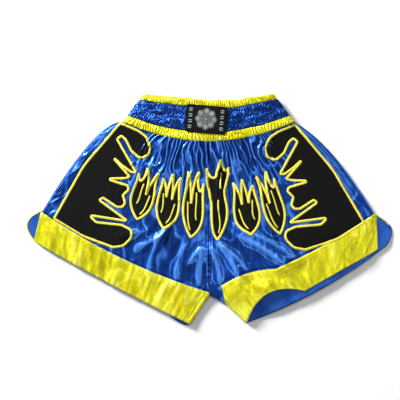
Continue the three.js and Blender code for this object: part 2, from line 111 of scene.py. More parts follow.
# %% Mesh helpers
BLUE, YELLOW, BLACK, THREAD, WEB, LABEL, GREY = (
    "blue_satin", "yellow_satin", "black_cloth", "yellow_thread", "elastic_web", "label_cloth",
    "grey_thread",
)
materials = {}


def make_piece(name, points, faces, uv, slot, replaces=()):
    """Puts points (N, 3) in mm, faces and the UV of each point in mm into a mesh that rides on
    the garment's one body. Faces are an array of quads, or lists with any number of corners."""
    mesh = bpy.data.meshes.new(name)
    faces = faces.tolist() if isinstance(faces, np.ndarray) else faces
    mesh.from_pydata((points * MM).tolist(), [], faces)
    layer = mesh.uv_layers.new(name="cloth")
    corner = np.empty(len(mesh.loops), dtype=np.int32)
    mesh.loops.foreach_get("vertex_index", corner)
    layer.data.foreach_set("uv", (uv[corner] * MM).astype(np.float32).ravel())
    mesh.shade_smooth()
    piece = bpy.data.objects.new(name, mesh)
    scene.collection.objects.link(piece)
    mesh.materials.append(materials[slot])
    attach(piece, "root")
    if replaces:
        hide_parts(*replaces)
    return piece


def grid_faces(rows, columns, wrap_rows=False, wrap_columns=False):
    """Quads of a grid of points stored row by row, each face running along a column first."""
    index = np.arange(rows * columns).reshape(rows, columns)
    if wrap_rows:
        index = np.vstack([index, index[:1]])
    if wrap_columns:
        index = np.hstack([index, index[:, :1]])
    here, right, over, up = index[:-1, :-1], index[:-1, 1:], index[1:, 1:], index[1:, :-1]
    return np.stack([here, right, over, up], axis=-1).reshape(-1, 4)


def tube_faces(stations, around, closed):
    """Faces of rings of points carried along a path: quads between the rings, and a cap at each
    end unless the path is closed."""
    faces = grid_faces(stations, around, wrap_rows=closed, wrap_columns=True).tolist()
    if not closed:
        first = np.arange(around)
        last = (stations - 1) * around + first[::-1]
        faces += [first.tolist(), last.tolist()]
    return faces


def outward(piece):
    """Turns every face of a closed piece outwards."""
    mesh = bmesh.new()
    mesh.from_mesh(piece.data)
    bmesh.ops.recalc_face_normals(mesh, faces=mesh.faces)
    mesh.to_mesh(piece.data)
    mesh.free()
    return piece


def thicken(piece, thickness, offset=-1.0):
    """Gives a cloth surface its thickness with a Solidify modifier."""
    solidify = piece.modifiers.new("thickness", "SOLIDIFY")
    solidify.thickness = thickness * MM
    solidify.offset = offset


def running_length(points):
    """The length in mm from the first point of a line to each of its points."""
    return np.r_[0, np.cumsum(np.linalg.norm(np.diff(points, axis=0), axis=1))]


# %% [markdown]
# ### Numbers kept on the points
# A fold is brighter on its crest than in its hollow, more than lamps alone can show on a thin
# mesh. So each point keeps how far it stands over its surroundings, and the finish reads that:
# it paints shade into the hollows and a highlight onto the crests, in the colour itself.

# %% Crests
def mean_around(grid, reach):
    """The mean over a square of grid cells on each side of every one, from running sums."""
    size = 2 * reach + 1
    for axis in (0, 1):
        padded = np.pad(grid, [(reach, reach) if k == axis else (0, 0) for k in (0, 1)], "edge")
        total = np.insert(np.cumsum(padded, axis), 0, 0, axis)
        grid = (total.take(range(size, total.shape[axis]), axis)
                - total.take(range(total.shape[axis] - size), axis)) / size
    return grid


def crest_of(height, reach, scale):
    """How far a height stands over its surroundings, from -1 to 1 at scale mm."""
    return np.clip((height - mean_around(mean_around(height, reach), reach)) / scale, -1, 1)


def keep_values(piece, name, values):
    """Stores one number a point for a finish to read."""
    layer = piece.data.attributes.new(name, "FLOAT", "POINT")
    layer.data.foreach_set("value", np.ascontiguousarray(values, dtype=np.float32).ravel())


def keep_crest(piece, values):
    """Stores how far each point stands out, kept between -1 and 1; the finishes paint it as shade
    and highlight.
    """
    keep_values(piece, "crest", np.clip(values, -1, 1))


# %% [markdown]
# ## Smooth noise
# Cloth is never regular. Value noise gives each point a number between -1 and 1 that changes
# smoothly: random numbers stand on a lattice, and a smooth blend joins them.

# %% Smooth noise
LATTICE = 97  # random numbers along each side of the lattice, which then repeats


def blend_step(low, high, value):
    """0 below low, 1 above high and 3t² - 2t³ between them."""
    t = np.clip((value - low) / (high - low), 0, 1)
    return t * t * (3 - 2 * t)


def noise(x, y, seed):
    """Lattice noise: the four corners' random numbers blended by 3t² - 2t³ in x and in y."""
    x, y = np.broadcast_arrays(np.asarray(x, float), np.asarray(y, float))
    table = np.random.default_rng(seed).uniform(-1, 1, (LATTICE, LATTICE))
    i, j = np.floor(x).astype(int), np.floor(y).astype(int)
    s, t = blend_step(0, 1, x - i), blend_step(0, 1, y - j)
    i, j, after_i, after_j = i % LATTICE, j % LATTICE, (i + 1) % LATTICE, (j + 1) % LATTICE
    low = table[i, j] * (1 - s) + table[after_i, j] * s
    high = table[i, after_j] * (1 - s) + table[after_i, after_j] * s
    return low * (1 - t) + high * t


# %% [markdown]
# ## The plan of a leg
# Both layers of a leg lie in one plan. Its four edges are the centre seam with the curve beside
# the gusset, the side seam, the edge under the waistband and the top of the hem band. A Coons
# patch fills them in: it adds the blend across to the blend down, and takes the blend of the
# four corners away. The hem band carries on below. The numbers repeat those of the CAD source.

# %% The plan of a leg
WAIST_LOW, WAIST_TOP = 290.0, 220.0
RISE, LOW_SAG, TOP_SAG = 260.0, 34.0, 16.0
HEM_WIDTH, INSEAM = 300.0, 60.0
GUSSET_HALF, GUSSET_HEIGHT = 12.0, 24.0
MOUTH_SHARE, MOUTH_TOP_SHARE, MOUTH_FADE, MOUTH_ROUND = 0.44, 0.36, 0.42, 0.85
BAND_V = 0.2  # the hem band takes this much of v below the panel
FLAP_BULGE = {-1: 12.0, 1: 9.0}  # how far the back flap stands out beside each slit
HEM_DROOP = {-1: 7.0, 1: 0.0}  # how far the back layer shows below the front beside the inseam
TO_MIDDLE = np.array([-3.05, -145.56])  # from the crotch to the middle of the footprint
# How each leg was laid out, -1 being the left one, before it is mirrored:
# crotch  the leg's inner corner, in mm from the foot of the centre seam
# inseam, hem  degrees that the inseam and the hem are turned
# front, back  the hem's share of HEM_WIDTH, the bow of the hem and the bow of the band's top
# slit  the slit's length in mm and its lean in degrees      lift  how far the mouth is drawn up
# bulge, pull  how far the side seam stands out in mm, and the share of its chord where it pulls
LAY = {
    -1: dict(crotch=(-3, 1), inseam=33, hem=28, front=(1.005, 3, 12), back=(1.06, 5, 10),
             slit=(49, 14), lift=0, bulge=18, pull=0.12),
    1: dict(crotch=(20, -8), inseam=48, hem=29.5, front=(0.85, 0, 12), back=(0.965, 12, 12),
            slit=(56, 2), lift=28, bulge=13.5, pull=0.3),
}


def polar(length, degrees):
    """A step of a length at an angle."""
    angle = np.radians(degrees)
    return np.stack([length * np.cos(angle), length * np.sin(angle)], axis=-1)


def mix(p, q, t):
    """The point a share t of the way from p to q."""
    t = np.asarray(t, float)[..., None]
    return np.asarray(p) * (1 - t) + np.asarray(q) * t


def leg_edges(side, face):
    """The edges of one layer of a leg as functions of a share from 0 to 1, before mirroring."""
    lay = LAY[side]
    share, bow, top_bow = lay[face]
    lift = lay["lift"] if face == "front" else 0
    crotch = np.array(lay["crotch"], float)
    inner = crotch + polar(INSEAM, lay["inseam"] - 90)
    outer = inner + polar(HEM_WIDTH * share, lay["hem"])
    front_outer = inner + polar(HEM_WIDTH * lay["front"][0], lay["hem"])
    slit_top = front_outer + polar(lay["slit"][0], 90 + lay["slit"][1])
    waist_end = np.array([WAIST_LOW / 2, RISE + LOW_SAG])
    chord = (slit_top - waist_end) / np.linalg.norm(slit_top - waist_end)
    pull = lay["pull"]
    under = waist_end + pull * (slit_top - waist_end)
    control = under + 2 * lay["bulge"] * np.array([-chord[1], chord[0]])
    knee = np.array([2.0, GUSSET_HEIGHT - 2])

    def side_seam(share):
        """A quadratic curve. Its parameter at a share of its chord is the root of
        (1 - 2 pull) t² + 2 pull t - share."""
        inside = np.clip(pull**2 + (1 - 2 * pull) * np.asarray(share, float), 0, None)
        t = (np.sqrt(inside) - pull) / (1 - 2 * pull)
        return mix(mix(waist_end, control, t), mix(control, slit_top, t), t)

    def hem_line(p, q, amount, bow, mouth=MOUTH_SHARE):
        """From p to q, less 4 bow s (1 - s), and raised near the inseam by a power of a sine."""
        def line(s):
            """The line at a share s from p to q."""
            rise = np.sin(np.pi * np.clip(s / mouth, 0, 1)).clip(0) ** MOUTH_ROUND
            return mix(p, q, s) + polar(amount * rise - 4 * bow * s * (1 - s), lay["hem"] + 90)
        return line

    def centre(t):
        """Straight down the centre seam, then out beside the gusset to the crotch."""
        straight = np.stack([0 * t, RISE + (GUSSET_HEIGHT - RISE) * np.minimum(t / 0.9, 1)], -1)
        turn = np.clip((t - 0.9) / 0.1, 0, 1)
        bend = mix(mix((0, GUSSET_HEIGHT), knee, turn), mix(knee, crotch, turn), turn)
        return np.where((t < 0.9)[..., None], straight, bend)

    return dict(
        waist=lambda s: np.stack([s * WAIST_LOW / 2, RISE + LOW_SAG * s * s], -1),
        side=side_seam,
        centre=centre,
        top=hem_line(crotch, slit_top, lift * MOUTH_FADE, top_bow, MOUTH_TOP_SHARE),
        hem=hem_line(inner, outer, lift, bow),
    )


EDGES = {(side, face): leg_edges(side, face) for side in (-1, 1) for face in ("front", "back")}
print("left side seam's middle:", EDGES[-1, "front"]["side"](np.array([0.5])).round(1))

# %% [markdown]
# ### From cloth to plan and back
# The same two functions place everything that is sewn on. One gives the plan place of a point of
# cloth. The other goes back from a plan place to the cloth, which has no formula, so it is found
# by steps. A test with random places shows how well the two agree.

# %% Cloth coordinates
FLAP_U, FLAP_V = 0.07, 0.1  # the back flap's corner is rounded over this much of u and v


def rounded_corner(u, v):
    """Moves the square corner of the back flap onto a quarter of an ellipse: beside the corner,
    each place is drawn in by its larger distance divided by the length of both."""
    p = np.clip((u - 1 + FLAP_U) / FLAP_U, 0, None)
    q = np.clip((v - 1 - BAND_V + FLAP_V) / FLAP_V, 0, None)
    draw = np.where((p > 0) & (q > 0), np.maximum(p, q) / np.maximum(np.hypot(p, q), 1e-9), 1)
    return u - p * FLAP_U * (1 - draw), v - q * FLAP_V * (1 - draw)


def plan(side, face, u, v):
    """Plan places of cloth coordinates: u from the centre seam to the side seam, v from the waist
    (0) to the top of the hem band (1) and on to the hem (1 + BAND_V)."""
    edges = EDGES[side, face]
    u, v = np.broadcast_arrays(np.asarray(u, float), np.asarray(v, float))
    if face == "back":
        u, v = rounded_corner(u, v)
    t = np.clip(v, 0, 1)
    zero, one = 0 * u, 0 * u + 1
    across = mix(edges["centre"](t), edges["side"](t), u)
    down = mix(edges["waist"](u), edges["top"](u), t)
    corners = mix(mix(edges["waist"](zero), edges["waist"](one), u),
                  mix(edges["top"](zero), edges["top"](one), u), t)
    body = across + down - corners
    band = mix(edges["top"](u), edges["hem"](u), (v - 1) / BAND_V)
    place = np.where((v > 1)[..., None], band, body)
    if face == "back":
        bulge = FLAP_BULGE[side] * np.sin(np.pi * np.clip((v - 0.97) / (BAND_V + 0.03), 0, 1))
        place = place + polar(bulge * blend_step(0.7, 1.0, u), LAY[side]["hem"])
        droop = HEM_DROOP[side] * blend_step(0.17, 0.06, u) * blend_step(-0.01, 0.03, u)
        place = place - polar(droop * blend_step(0.9, 1.15, v), LAY[side]["hem"] + 90)
    return place * [side, 1] + TO_MIDDLE


def cloth_place(side, face, xy, rounds=14):
    """The cloth coordinates of plan places, by Newton's method: each round steps by the error
    divided by the slope."""
    u, v = np.full(len(xy), 0.4), np.full(len(xy), 0.5)
    h = 1e-4
    for _ in range(rounds):
        here = plan(side, face, u, v)
        du = (plan(side, face, u + h, v) - here) / h
        dv = (plan(side, face, u, v + h) - here) / h
        error = xy - here
        turn = du[:, 0] * dv[:, 1] - du[:, 1] * dv[:, 0]
        turn = np.where(np.abs(turn) < 1e-6, 1e-6, turn)
        u = u + np.clip((error[:, 0] * dv[:, 1] - error[:, 1] * dv[:, 0]) / turn, -0.2, 0.2)
        v = v + np.clip((du[:, 0] * error[:, 1] - du[:, 1] * error[:, 0]) / turn, -0.2, 0.2)
        u, v = np.clip(u, -0.1, 1.1), np.clip(v, -0.1, 1.35)
    return u, v


test_uv = np.random.default_rng(1).uniform(0.05, 0.95, (400, 2))
test_xy = plan(1, "front", *test_uv.T)
found = np.stack(cloth_place(1, "front", test_xy), -1)
print("largest error in finding cloth coordinates:", np.abs(found - test_uv).max().round(6))

# %% [markdown]
# ## The drape
# The front of the shorts is one height over the plan, and the next cells add it up. It could be
# simulated, but shorts that were laid out by hand don't settle into the same folds, so formulas
# are surer. Gathers start under the elastic as sharp little ridges, each with its own height and
# length. A fan of long soft folds spreads from a knot above the crotch, where the cloth is pulled
# together. Small random creases fill the rest.

# %% The fan of folds
KNOT = np.array([-6.0, 93.0]) + TO_MIDDLE
# Each fold of the fan: where it starts and ends as (mm from the knot, degrees from straight
# down, counted towards the right), its height and its half width in mm.
FAN = [
    ((26, -98), (88, -34), 2.8, 5.0),
    ((8, -33), (50, -36), 2.6, 4.2),
    ((14, -20), (80, -8), 3.0, 3.4),
    ((10, 2), (70, 5), 2.0, 2.6),
    ((6, 50), (80, 19), 3.2, 3.6),
    ((17, 84), (92, 39), 3.4, 4.6),
    ((22, 88), (86, 55), 3.0, 4.4),
    ((48, 108), (140, 73), 4.0, 6.2),
    ((56, 118), (156, 79), 3.4, 5.6),
    ((62, -131), (110, -62), 2.6, 5.6),
    ((70, -103), (118, -83), 3.0, 5.2),
    ((95, -104), (150, -92), 2.0, 6.0),
]


def ridge(distance, width):
    """A fold with a rounded crest and hollow flanks: 1 / (1 + (d/w)²) to the power 1.5."""
    return (1 + (distance / width) ** 2) ** -1.5


def fan_height(x, y):
    """Sum of the fan's folds. A fold's crest runs in polar coordinates round the knot, and its
    angle goes from the first to the last with the square root of the distance."""
    away = np.stack([x, y], -1) - KNOT
    reach = np.hypot(away[..., 0], away[..., 1])
    angle = np.degrees(np.arctan2(away[..., 0], -away[..., 1]))
    total = 0 * x
    for (start, start_angle), (end, end_angle), height, width in FAN:
        along = (reach - start) / (end - start)
        crest = start_angle + (end_angle - start_angle) * np.sqrt(np.clip(along, 0, 1.3))
        off = (angle - crest + 180) % 360 - 180
        sideways = reach * np.radians(off) * 0.85
        fade = blend_step(-0.12, 0.22, along) * blend_step(1.25, 0.75, along)
        profile = 1.3 * height * ridge(sideways, width * 1.7) + 0.3 * ridge(sideways, 1.3)
        total = total + profile * fade * (np.abs(off) < 110)
    return total


print("folds in the fan:", len(FAN))

# %% [markdown]
# ### Gathers and creases
# Gathers are ridges at whole numbers of a phase. Noise makes the phase wander, so no two are
# alike. Creases stand where smooth noise crosses zero, which gives lines that branch and close
# as real creases do. Stiff appliques calm the cloth under them.

# %% Gathers and creases
GATHERS = 19  # on each side of the centre


def creases(x, y, seed):
    """Sharp crests that wander and branch: they stand where smooth noise crosses zero, and fall
    away as the square of its distance from it."""
    return np.clip(1 - 1.9 * np.abs(noise(x, y, seed)), 0, 1) ** 2.2


def gather_height(s, v):
    """Ridges at whole numbers of a wandering phase, each with its own height and reach, and
    branching creases between them."""
    phase = GATHERS * s + 1.3 * noise(s * 7 + 30, v * 6, 3) + 0.35 * noise(s * 20 + 9, v * 14, 4)
    nearest = np.round(phase)
    rng = np.random.default_rng(5)
    heights, reaches = rng.uniform(0.45, 1.15, 64), rng.uniform(0.2, 0.62, 64)
    k = nearest.astype(int) % 64
    fade = blend_step(1.0, 0.35, v / reaches[k])
    crest = np.exp(-(((phase - nearest) / 0.19) ** 2))
    swell = 1.1 * noise(s * 11, v * 3, 6) * blend_step(0.7, 0.1, v)
    branch = 1.5 * creases(s * 21 + 5, v * 5.5 + 2, 7) * blend_step(0.75, 0.25, v)
    calm = blend_step(0.72, 0.55, np.abs(s))
    return (3.2 * heights[k] * crest * fade + swell + branch) * calm


def crease_height(x, y, s, v):
    """Fine random creases, longer down the leg than across it, and long ones at the sides."""
    across, down, outward_share = s * 30, v * 8, np.abs(s)
    fine = 0.5 * noise(across, down, 11) + 0.3 * noise(across * 2.3, down * 2.6, 12)
    wide = 1.6 * noise(x / 40, y / 52, 13)
    stiff = blend_step(0.5, 0.66, outward_share) * blend_step(0.93, 0.87, outward_share)
    slack = 0.5 * creases(s * 16 + 3, v * 6 + 0.25 * across, 14) * blend_step(0.3, 0.55, v)
    sides = 1.3 * creases(s * 34, v * 7 - 0.5 * outward_share * 30, 15)
    sides = sides * blend_step(0.9, 0.94, outward_share)
    return fine * (1 - 0.75 * stiff) + wide * (1 - 0.5 * stiff) + slack * (1 - stiff) + sides


# %% [markdown]
# ### The painted sheen
# Satin's floating threads shine or go dark as the nap turns to the light, even where the cloth is
# level. That sheen is painted into the colour: one number says how the nap lies, and the satin
# finish paints the cloth lighter or darker by it. Where it passes a level, a fine bright line is
# painted, as where two folds meet.

# %% The painted sheen
def streaks(s, v, x, y):
    """How the nap lies, painted into the colour as sheen: the satin finish paints it brighter or
    darker. It follows the gathers under the waistband and the folds of the fan below, and wanders
    a little."""
    falls = 0.28 * gather_height(s, v) + 0.55 * noise(s * 15 + 11, v * 3.4 + s * 2, 43) - 0.25
    rays = 0.21 * fan_height(x, y) + 0.5 * noise(x / 26 + 20, y / 36 + 20, 41) - 0.38
    return rays + (falls - rays) * blend_step(0.62, 0.42, v)


def band_painted_sheen(s, v):
    """The same painted sheen across a hem band, where the streaks lean a little."""
    depth = (v - 1) / BAND_V
    lean = s * 13 + 1.6 * depth * (0.4 + noise(s * 5 + 60, 0 * depth + 4, 47))
    broad = noise(lean + 60, 1.7 * depth + 4, 45)
    return broad + 0.3 * noise(2.3 * lean + 60, 2 * depth + 4, 46)


# %% [markdown]
# ### Hem band, seams and edges
# The hem bands are stiffer and only pucker. Seams draw the cloth in as narrow grooves, and the
# height falls away like a quarter circle towards each sewn edge. The back layer lies nearly flat
# on the table, but its hem stands off it a little, because nothing weighs it down.

# %% Seams and edges
STAND = {-1: 3.0, 1: 6.0}  # how far the back hem stands off the table
INSEAM_LINES = {-1: (8, 14), 1: (13,)}  # seam lines across a hem band, in mm from the inseam
BAND_START = {-1: 0.99, 1: 0.97}  # where the hem band's top edge lies
CROTCH = np.array([11.5, -3.5]) + TO_MIDDLE  # where the cloth is flattest


def band_height(s, v, side):
    """Soft puckers across the hem band, and the lift of the mouth on the right leg."""
    a = np.abs(s)
    depth = np.clip((v - 1) / BAND_V, 0, 1)
    lean = a * 26 + 0.5 * depth
    pucker = (1.6 * noise(lean + 7 * (side > 0), 1.4 * depth, 21)
              + 0.8 * noise(lean * 2.1, 2.2 * depth + 3, 22)
              + 0.5 * creases(lean * 0.9 + 3 * depth, 1.6 * depth + 5, 23))
    mouth = np.sin(np.pi * np.clip(a / MOUTH_SHARE, 0, 1)) * (side > 0)
    return blend_step(0.93, 1.03, v) * pucker + 6.5 * mouth * blend_step(0.75, 1.15, v)


def leg_width(v):
    """How wide a leg is at v, about, in mm."""
    return 145 + 150 * np.clip(v, 0, 1)


def groove(distance, width):
    """A bell: e to the power of -(d/w)²."""
    return np.exp(-((distance / width) ** 2))


def seam_depth(side, u, v, y):
    """How far seam lines draw the cloth down: the centre seam, the edge of its allowance, the
    puckers beside both, the lines beside the inseam and the top edge of the hem band."""
    from_centre = u * leg_width(v)
    seam = groove(from_centre, 1.3) * blend_step(1.0, 0.9, v)
    allowance = 0.9 * groove(from_centre - 4.2, 1.1) * blend_step(0.5, 0.7, v) * (v < 0.96)
    pucker = 0.7 * noise(y / 3.2 + 50, 0 * y + 1, 25) * groove(from_centre, 5)
    pucker = pucker * blend_step(0.5, 0.65, v) * (v < 1)
    lines = sum(0.8 * groove(u * HEM_WIDTH - away, 0.9) * (v > 1) for away in INSEAM_LINES[side])
    band_top = 0.9 * groove(v - BAND_START[side] + 0.009, 0.006)
    return seam + allowance + pucker + lines + band_top


def rounded_edge(distance, radius):
    """A quarter circle: 0 at the edge and 1 from radius inwards."""
    inside = 1 - np.clip(distance / radius, 0, 1)
    return np.sqrt(np.clip(1 - inside**2, 0, 1))


def edge_share(u, v, xy):
    """The share of its height that the front keeps near the side, the inseam and the crotch.
    Below the slit's top the side is open, so half the height stays there."""
    to_side = (1 - u) * leg_width(v)
    open_side = blend_step(0, 30, to_side) * 0.5 + 0.5
    blend = blend_step(0.94, 1.02, v)
    at_side = (1 - blend) * rounded_edge(to_side, 13) + blend * open_side
    at_inseam = 1 - (1 - rounded_edge(u * leg_width(v), 9)) * blend_step(0.97, 1.03, v)
    to_crotch = np.hypot(xy[..., 0] - CROTCH[0], xy[..., 1] - CROTCH[1])
    return at_side * at_inseam * (0.35 + 0.65 * rounded_edge(to_crotch, 20))


# %% [markdown]
# ### Heights of the two layers
# The front's height is its body and its folds, less the seams, and drawn down near its edges. The
# back has only a lazy wave and the ends of the gathers.

# %% Heights of the two layers
FRONT_LOW, FRONT_BODY = 1.6, 10.5


def front_height(side, u, v, xy):
    """Height of the front layer over the table, at cloth coordinates and plan places."""
    s, x, y = side * u, xy[..., 0], xy[..., 1]
    body = FRONT_BODY + 4.5 * np.exp(-np.clip(v, 0, 2) * RISE / 30) - blend_step(0.55, 1.1, v)
    folds = fan_height(x, y) + gather_height(s, v) + crease_height(x, y, s, v)
    height = body + folds * blend_step(1.12, 0.98, v) + band_height(s, v, side)
    return FRONT_LOW + (height - seam_depth(side, u, v, y) - FRONT_LOW) * edge_share(u, v, xy)


def back_height(side, u, v, xy):
    """Height of the back layer over the table."""
    s, x, y = side * u, xy[..., 0], xy[..., 1]
    lazy = 0.5 * noise(x / 40, y / 40, 31) + 0.25 * noise(x / 13, y / 17, 32)
    gathers = 0.35 * np.cos(2 * np.pi * (GATHERS * s + 0.6 * noise(s * 8, v * 5, 33)))
    height = 1.35 + lazy + gathers * blend_step(0.35, 0.0, v)
    mouth = 1.4 * noise(u * 9, v * 5, 34) * blend_step(0.9, 1.1, v) * (side > 0)
    stand = STAND[side] * np.sin(np.pi * np.clip(u, 0, 1)) ** 0.7 * blend_step(0.8, 1.2, v)
    return np.clip(height + np.abs(mouth), 0.75, None) + stand


HEIGHTS = {"front": front_height, "back": back_height}
print("height over the knot:", front_height(1, np.array([0.02]), np.array([0.7]), KNOT[None]))

# %% [markdown]
# ### Laying things on the cloth
# Whatever is sewn on follows the drape at a small lift along its normal, so it neither floats
# over a fold nor sinks into it.

# %% Laying on the cloth
def lay(side, face, u, v, lift=0.0):
    """Points in space of cloth coordinates: over the plan at the layer's height, moved out along
    the layer's normal by lift."""
    u, v = np.broadcast_arrays(np.asarray(u, float), np.asarray(v, float))
    xy = plan(side, face, u, v)
    return raise_over(side, face, xy, u, v, lift)


def raise_over(side, face, xy, u, v, lift):
    """The same for plan places whose cloth coordinates are known. The normal is the cross product
    of the surface's two slopes, taken over a short step."""
    z = HEIGHTS[face](side, u, v, xy)
    points = np.concatenate([xy, z[..., None]], -1)
    if np.ndim(lift) == 0 and lift == 0:
        return points
    h = 1e-3
    steps = []
    for du, dv in ((h, 0), (0, h)):
        there = plan(side, face, u + du, v + dv)
        rise = HEIGHTS[face](side, u + du, v + dv, there)
        steps.append(np.concatenate([there, rise[..., None]], -1) - points)
    normal = np.cross(*steps)
    normal = normal * np.sign(normal[..., 2:3]) / np.linalg.norm(normal, axis=-1, keepdims=True)
    return points + normal * np.asarray(lift)[..., None]


def lay_plan(xy, lift=0.0):
    """Points in space of plan places on the front, each found on the leg that it lies on."""
    points = np.zeros((len(xy), 3))
    lift = np.broadcast_to(np.asarray(lift, float), (len(xy),))
    left = xy[:, 0] < TO_MIDDLE[0]
    for side, on_leg in ((-1, left), (1, ~left)):
        if on_leg.any():
            u, v = cloth_place(side, "front", xy[on_leg])
            points[on_leg] = raise_over(side, "front", xy[on_leg], u, v, lift[on_leg])
    return points


print("the knot in space:", lay_plan(KNOT[None]).round(1))

# %% [markdown]
# ## Cloth and thread finishes
# All finishes are nodes on the Principled shader. Satin is woven so that long threads float on
# its face: a fine wave across the cloth is its threads, a stretched noise varies their colour and
# gloss, and anisotropy draws each highlight out across the threads. Part of the shine takes the
# cloth's own colour, because light passes through the floating threads, so the shader's metallic
# share is above zero. Applique cloth is a dull twill, and embroidery is thread laid side by side.

# %% Shared nodes
PER_MM = (1000, 1000, 1000)  # coordinates in metres times this count millimetres


def nodes_of(name):
    """A new material, its shader, and short helpers that add and link nodes."""
    material = bpy.data.materials.new(name)
    material.use_nodes = True
    tree = material.node_tree

    def add(kind, inputs=(), **settings):
        """A node whose inputs are linked where a socket is given, and set where a value is."""
        node = tree.nodes.new("ShaderNode" + kind)
        for key, value in settings.items():
            setattr(node, key, value)
        for key, value in dict(inputs).items():
            if isinstance(value, bpy.types.NodeSocket):
                tree.links.new(value, node.inputs[key])
            else:
                node.inputs[key].default_value = value
        return node

    return material, tree.nodes["Principled BSDF"], add, tree.links.new


def cloth_coordinates(add, on_uv, scale):
    """Coordinates in threads: the cloth's own UV map, or the object's place, times a scale."""
    if on_uv:
        source = add("UVMap", uv_map="cloth").outputs["UV"]
    else:
        source = add("TexCoord").outputs["Object"]
    return add("Mapping", {"Vector": source, "Scale": scale}).outputs["Vector"]


def cloudy(add, place, scale, detail):
    """Smooth noise from 0 to 1."""
    return add("TexNoise", {"Vector": place, "Scale": scale, "Detail": detail}).outputs["Fac"]


def ribs_along(add, place, axis, scale, distortion, detail=2.0):
    """Parallel ribs from 0 to 1, a little bent."""
    inputs = {"Vector": place, "Scale": scale, "Distortion": distortion, "Detail": detail}
    return add("TexWave", inputs, bands_direction=axis).outputs["Fac"]


def number(add, a, b, operation):
    """Two numbers made one by a Math node."""
    return add("Math", {0: a, 1: b}, operation=operation).outputs[0]


def ranged(add, value, low, high, to_low=0.0, to_high=1.0, blend="LINEAR"):
    """A number moved from the range low to high to another one, and kept inside it."""
    inputs = {"Value": value, "From Min": low, "From Max": high,
              "To Min": to_low, "To Max": to_high}
    return add("MapRange", inputs, interpolation_type=blend).outputs[0]


def between(add, share, dark, light):
    """A colour between two by a share."""
    return add("Mix", {"Factor": share, 6: dark, 7: light}, data_type="RGBA").outputs[2]


def times(add, colour, share):
    """A colour made darker or lighter by a number."""
    return add("VectorMath", {0: colour, "Scale": share}, operation="SCALE").outputs[0]


def relief(add, height, strength, distance):
    """A normal that shows a fine relief; the distance is in metres."""
    bump = add("Bump", {"Height": height, "Strength": strength, "Distance": distance})
    return bump.outputs["Normal"]


def finish_shader(shader, link, **values):
    """Puts each value on the shader's input of that name, with _ for a space: sockets are linked
    and plain values are set."""
    for key, value in values.items():
        socket = shader.inputs[key.replace("_", " ")]
        if isinstance(value, bpy.types.NodeSocket):
            link(value, socket)
        else:
            socket.default_value = value


# %% [markdown]
# ### Satin
# The colour has three parts: streaks of single threads, larger patches, and the two numbers kept
# on the mesh, which paint light and shade. The crest brightens a fold's back and darkens its
# hollow as painted highlight and painted shade, and the painted sheen draws a thin painted
# highlight where it passes a level.

# %% Satin
PAINTED_SHEEN_LEVEL, PAINTED_SHEEN_SPACING, PAINTED_SHEEN_LINE = 0.32, 0.33, 0.13


def satin(name, dark, light, gleam, tint, roughness, metallic, depth, edge):
    """Floating threads: a fine wave for their relief and streaks of colour and gloss. The colour
    is multiplied by depth to the power of the crest, which paints shade and highlight, and edge is
    added to the crest along each line of the painted sheen. From a crest of 0.3 upwards the colour
    goes over to the gleam, a painted highlight."""
    material, shader, add, link = nodes_of(name)
    threads = cloth_coordinates(add, True, PER_MM)
    streaks = cloudy(add, cloth_coordinates(add, True, (60, 900, 1)), 1.0, 3.0)
    patches = cloudy(add, cloth_coordinates(add, True, (26, 26, 1)), 1.0, 2.0)
    tone = ranged(add, number(add, streaks, patches, "ADD"), 0.7, 1.3)
    painted_sheen = number(add, add("Attribute", attribute_name="painted_sheen").outputs["Fac"], PAINTED_SHEEN_LEVEL, "ADD")
    off_line = number(add, painted_sheen, PAINTED_SHEEN_SPACING, "PINGPONG")
    line = ranged(add, off_line, 0.0, PAINTED_SHEEN_LINE, edge, 0.0, "SMOOTHSTEP")
    crest = number(add, add("Attribute", attribute_name="crest").outputs["Fac"], line, "ADD")
    shaded = times(add, between(add, tone, dark, light), number(add, depth, crest, "POWER"))
    # Painted highlight: from a crest of 0.3 upwards the colour goes over to the gleam.
    painted_highlight_share = ranged(add, crest, 0.3, 1.0, 0.0, 0.75)
    weft = ribs_along(add, threads, "Y", 0.9, 1.2, 1.0)
    warp = ribs_along(add, threads, "X", 0.35, 0.8)
    weave = number(add, number(add, weft, warp, "ADD"), streaks, "ADD")
    finish_shader(
        shader, link,
        Base_Color=between(add, painted_highlight_share, shaded, gleam),
        Roughness=ranged(add, streaks, 0.3, 0.7, roughness - 0.04, roughness + 0.06),
        Normal=relief(add, weave, 0.25, 0.00006),
        Metallic=metallic,
        Specular_IOR_Level=0.55,
        Specular_Tint=tint,
        Anisotropic=0.45,
        Sheen_Weight=0.03,
        Sheen_Roughness=0.35,
        Sheen_Tint=tint,
    )
    return material


# %% [markdown]
# ### Twill, laid thread and webbing
# These are plainer: ribs times lint or fuzz give both the colour and the relief.

# %% Twill, laid thread and webbing
def twill(name, dark, light):
    """Dull cloth with fine diagonal ribs and a little lint."""
    material, shader, add, link = nodes_of(name)
    threads = cloth_coordinates(add, True, PER_MM)
    lint = cloudy(add, threads, 0.22, 5.0)
    tone = number(add, ribs_along(add, threads, "DIAGONAL", 0.32, 0.6), lint, "MULTIPLY")
    finish_shader(
        shader, link,
        Base_Color=between(add, tone, dark, light),
        Roughness=ranged(add, lint, 0.0, 1.0, 0.72, 0.92),
        Normal=relief(add, tone, 0.5, 0.0002),
        Specular_IOR_Level=0.12,
        Sheen_Weight=0.02,
    )
    return material


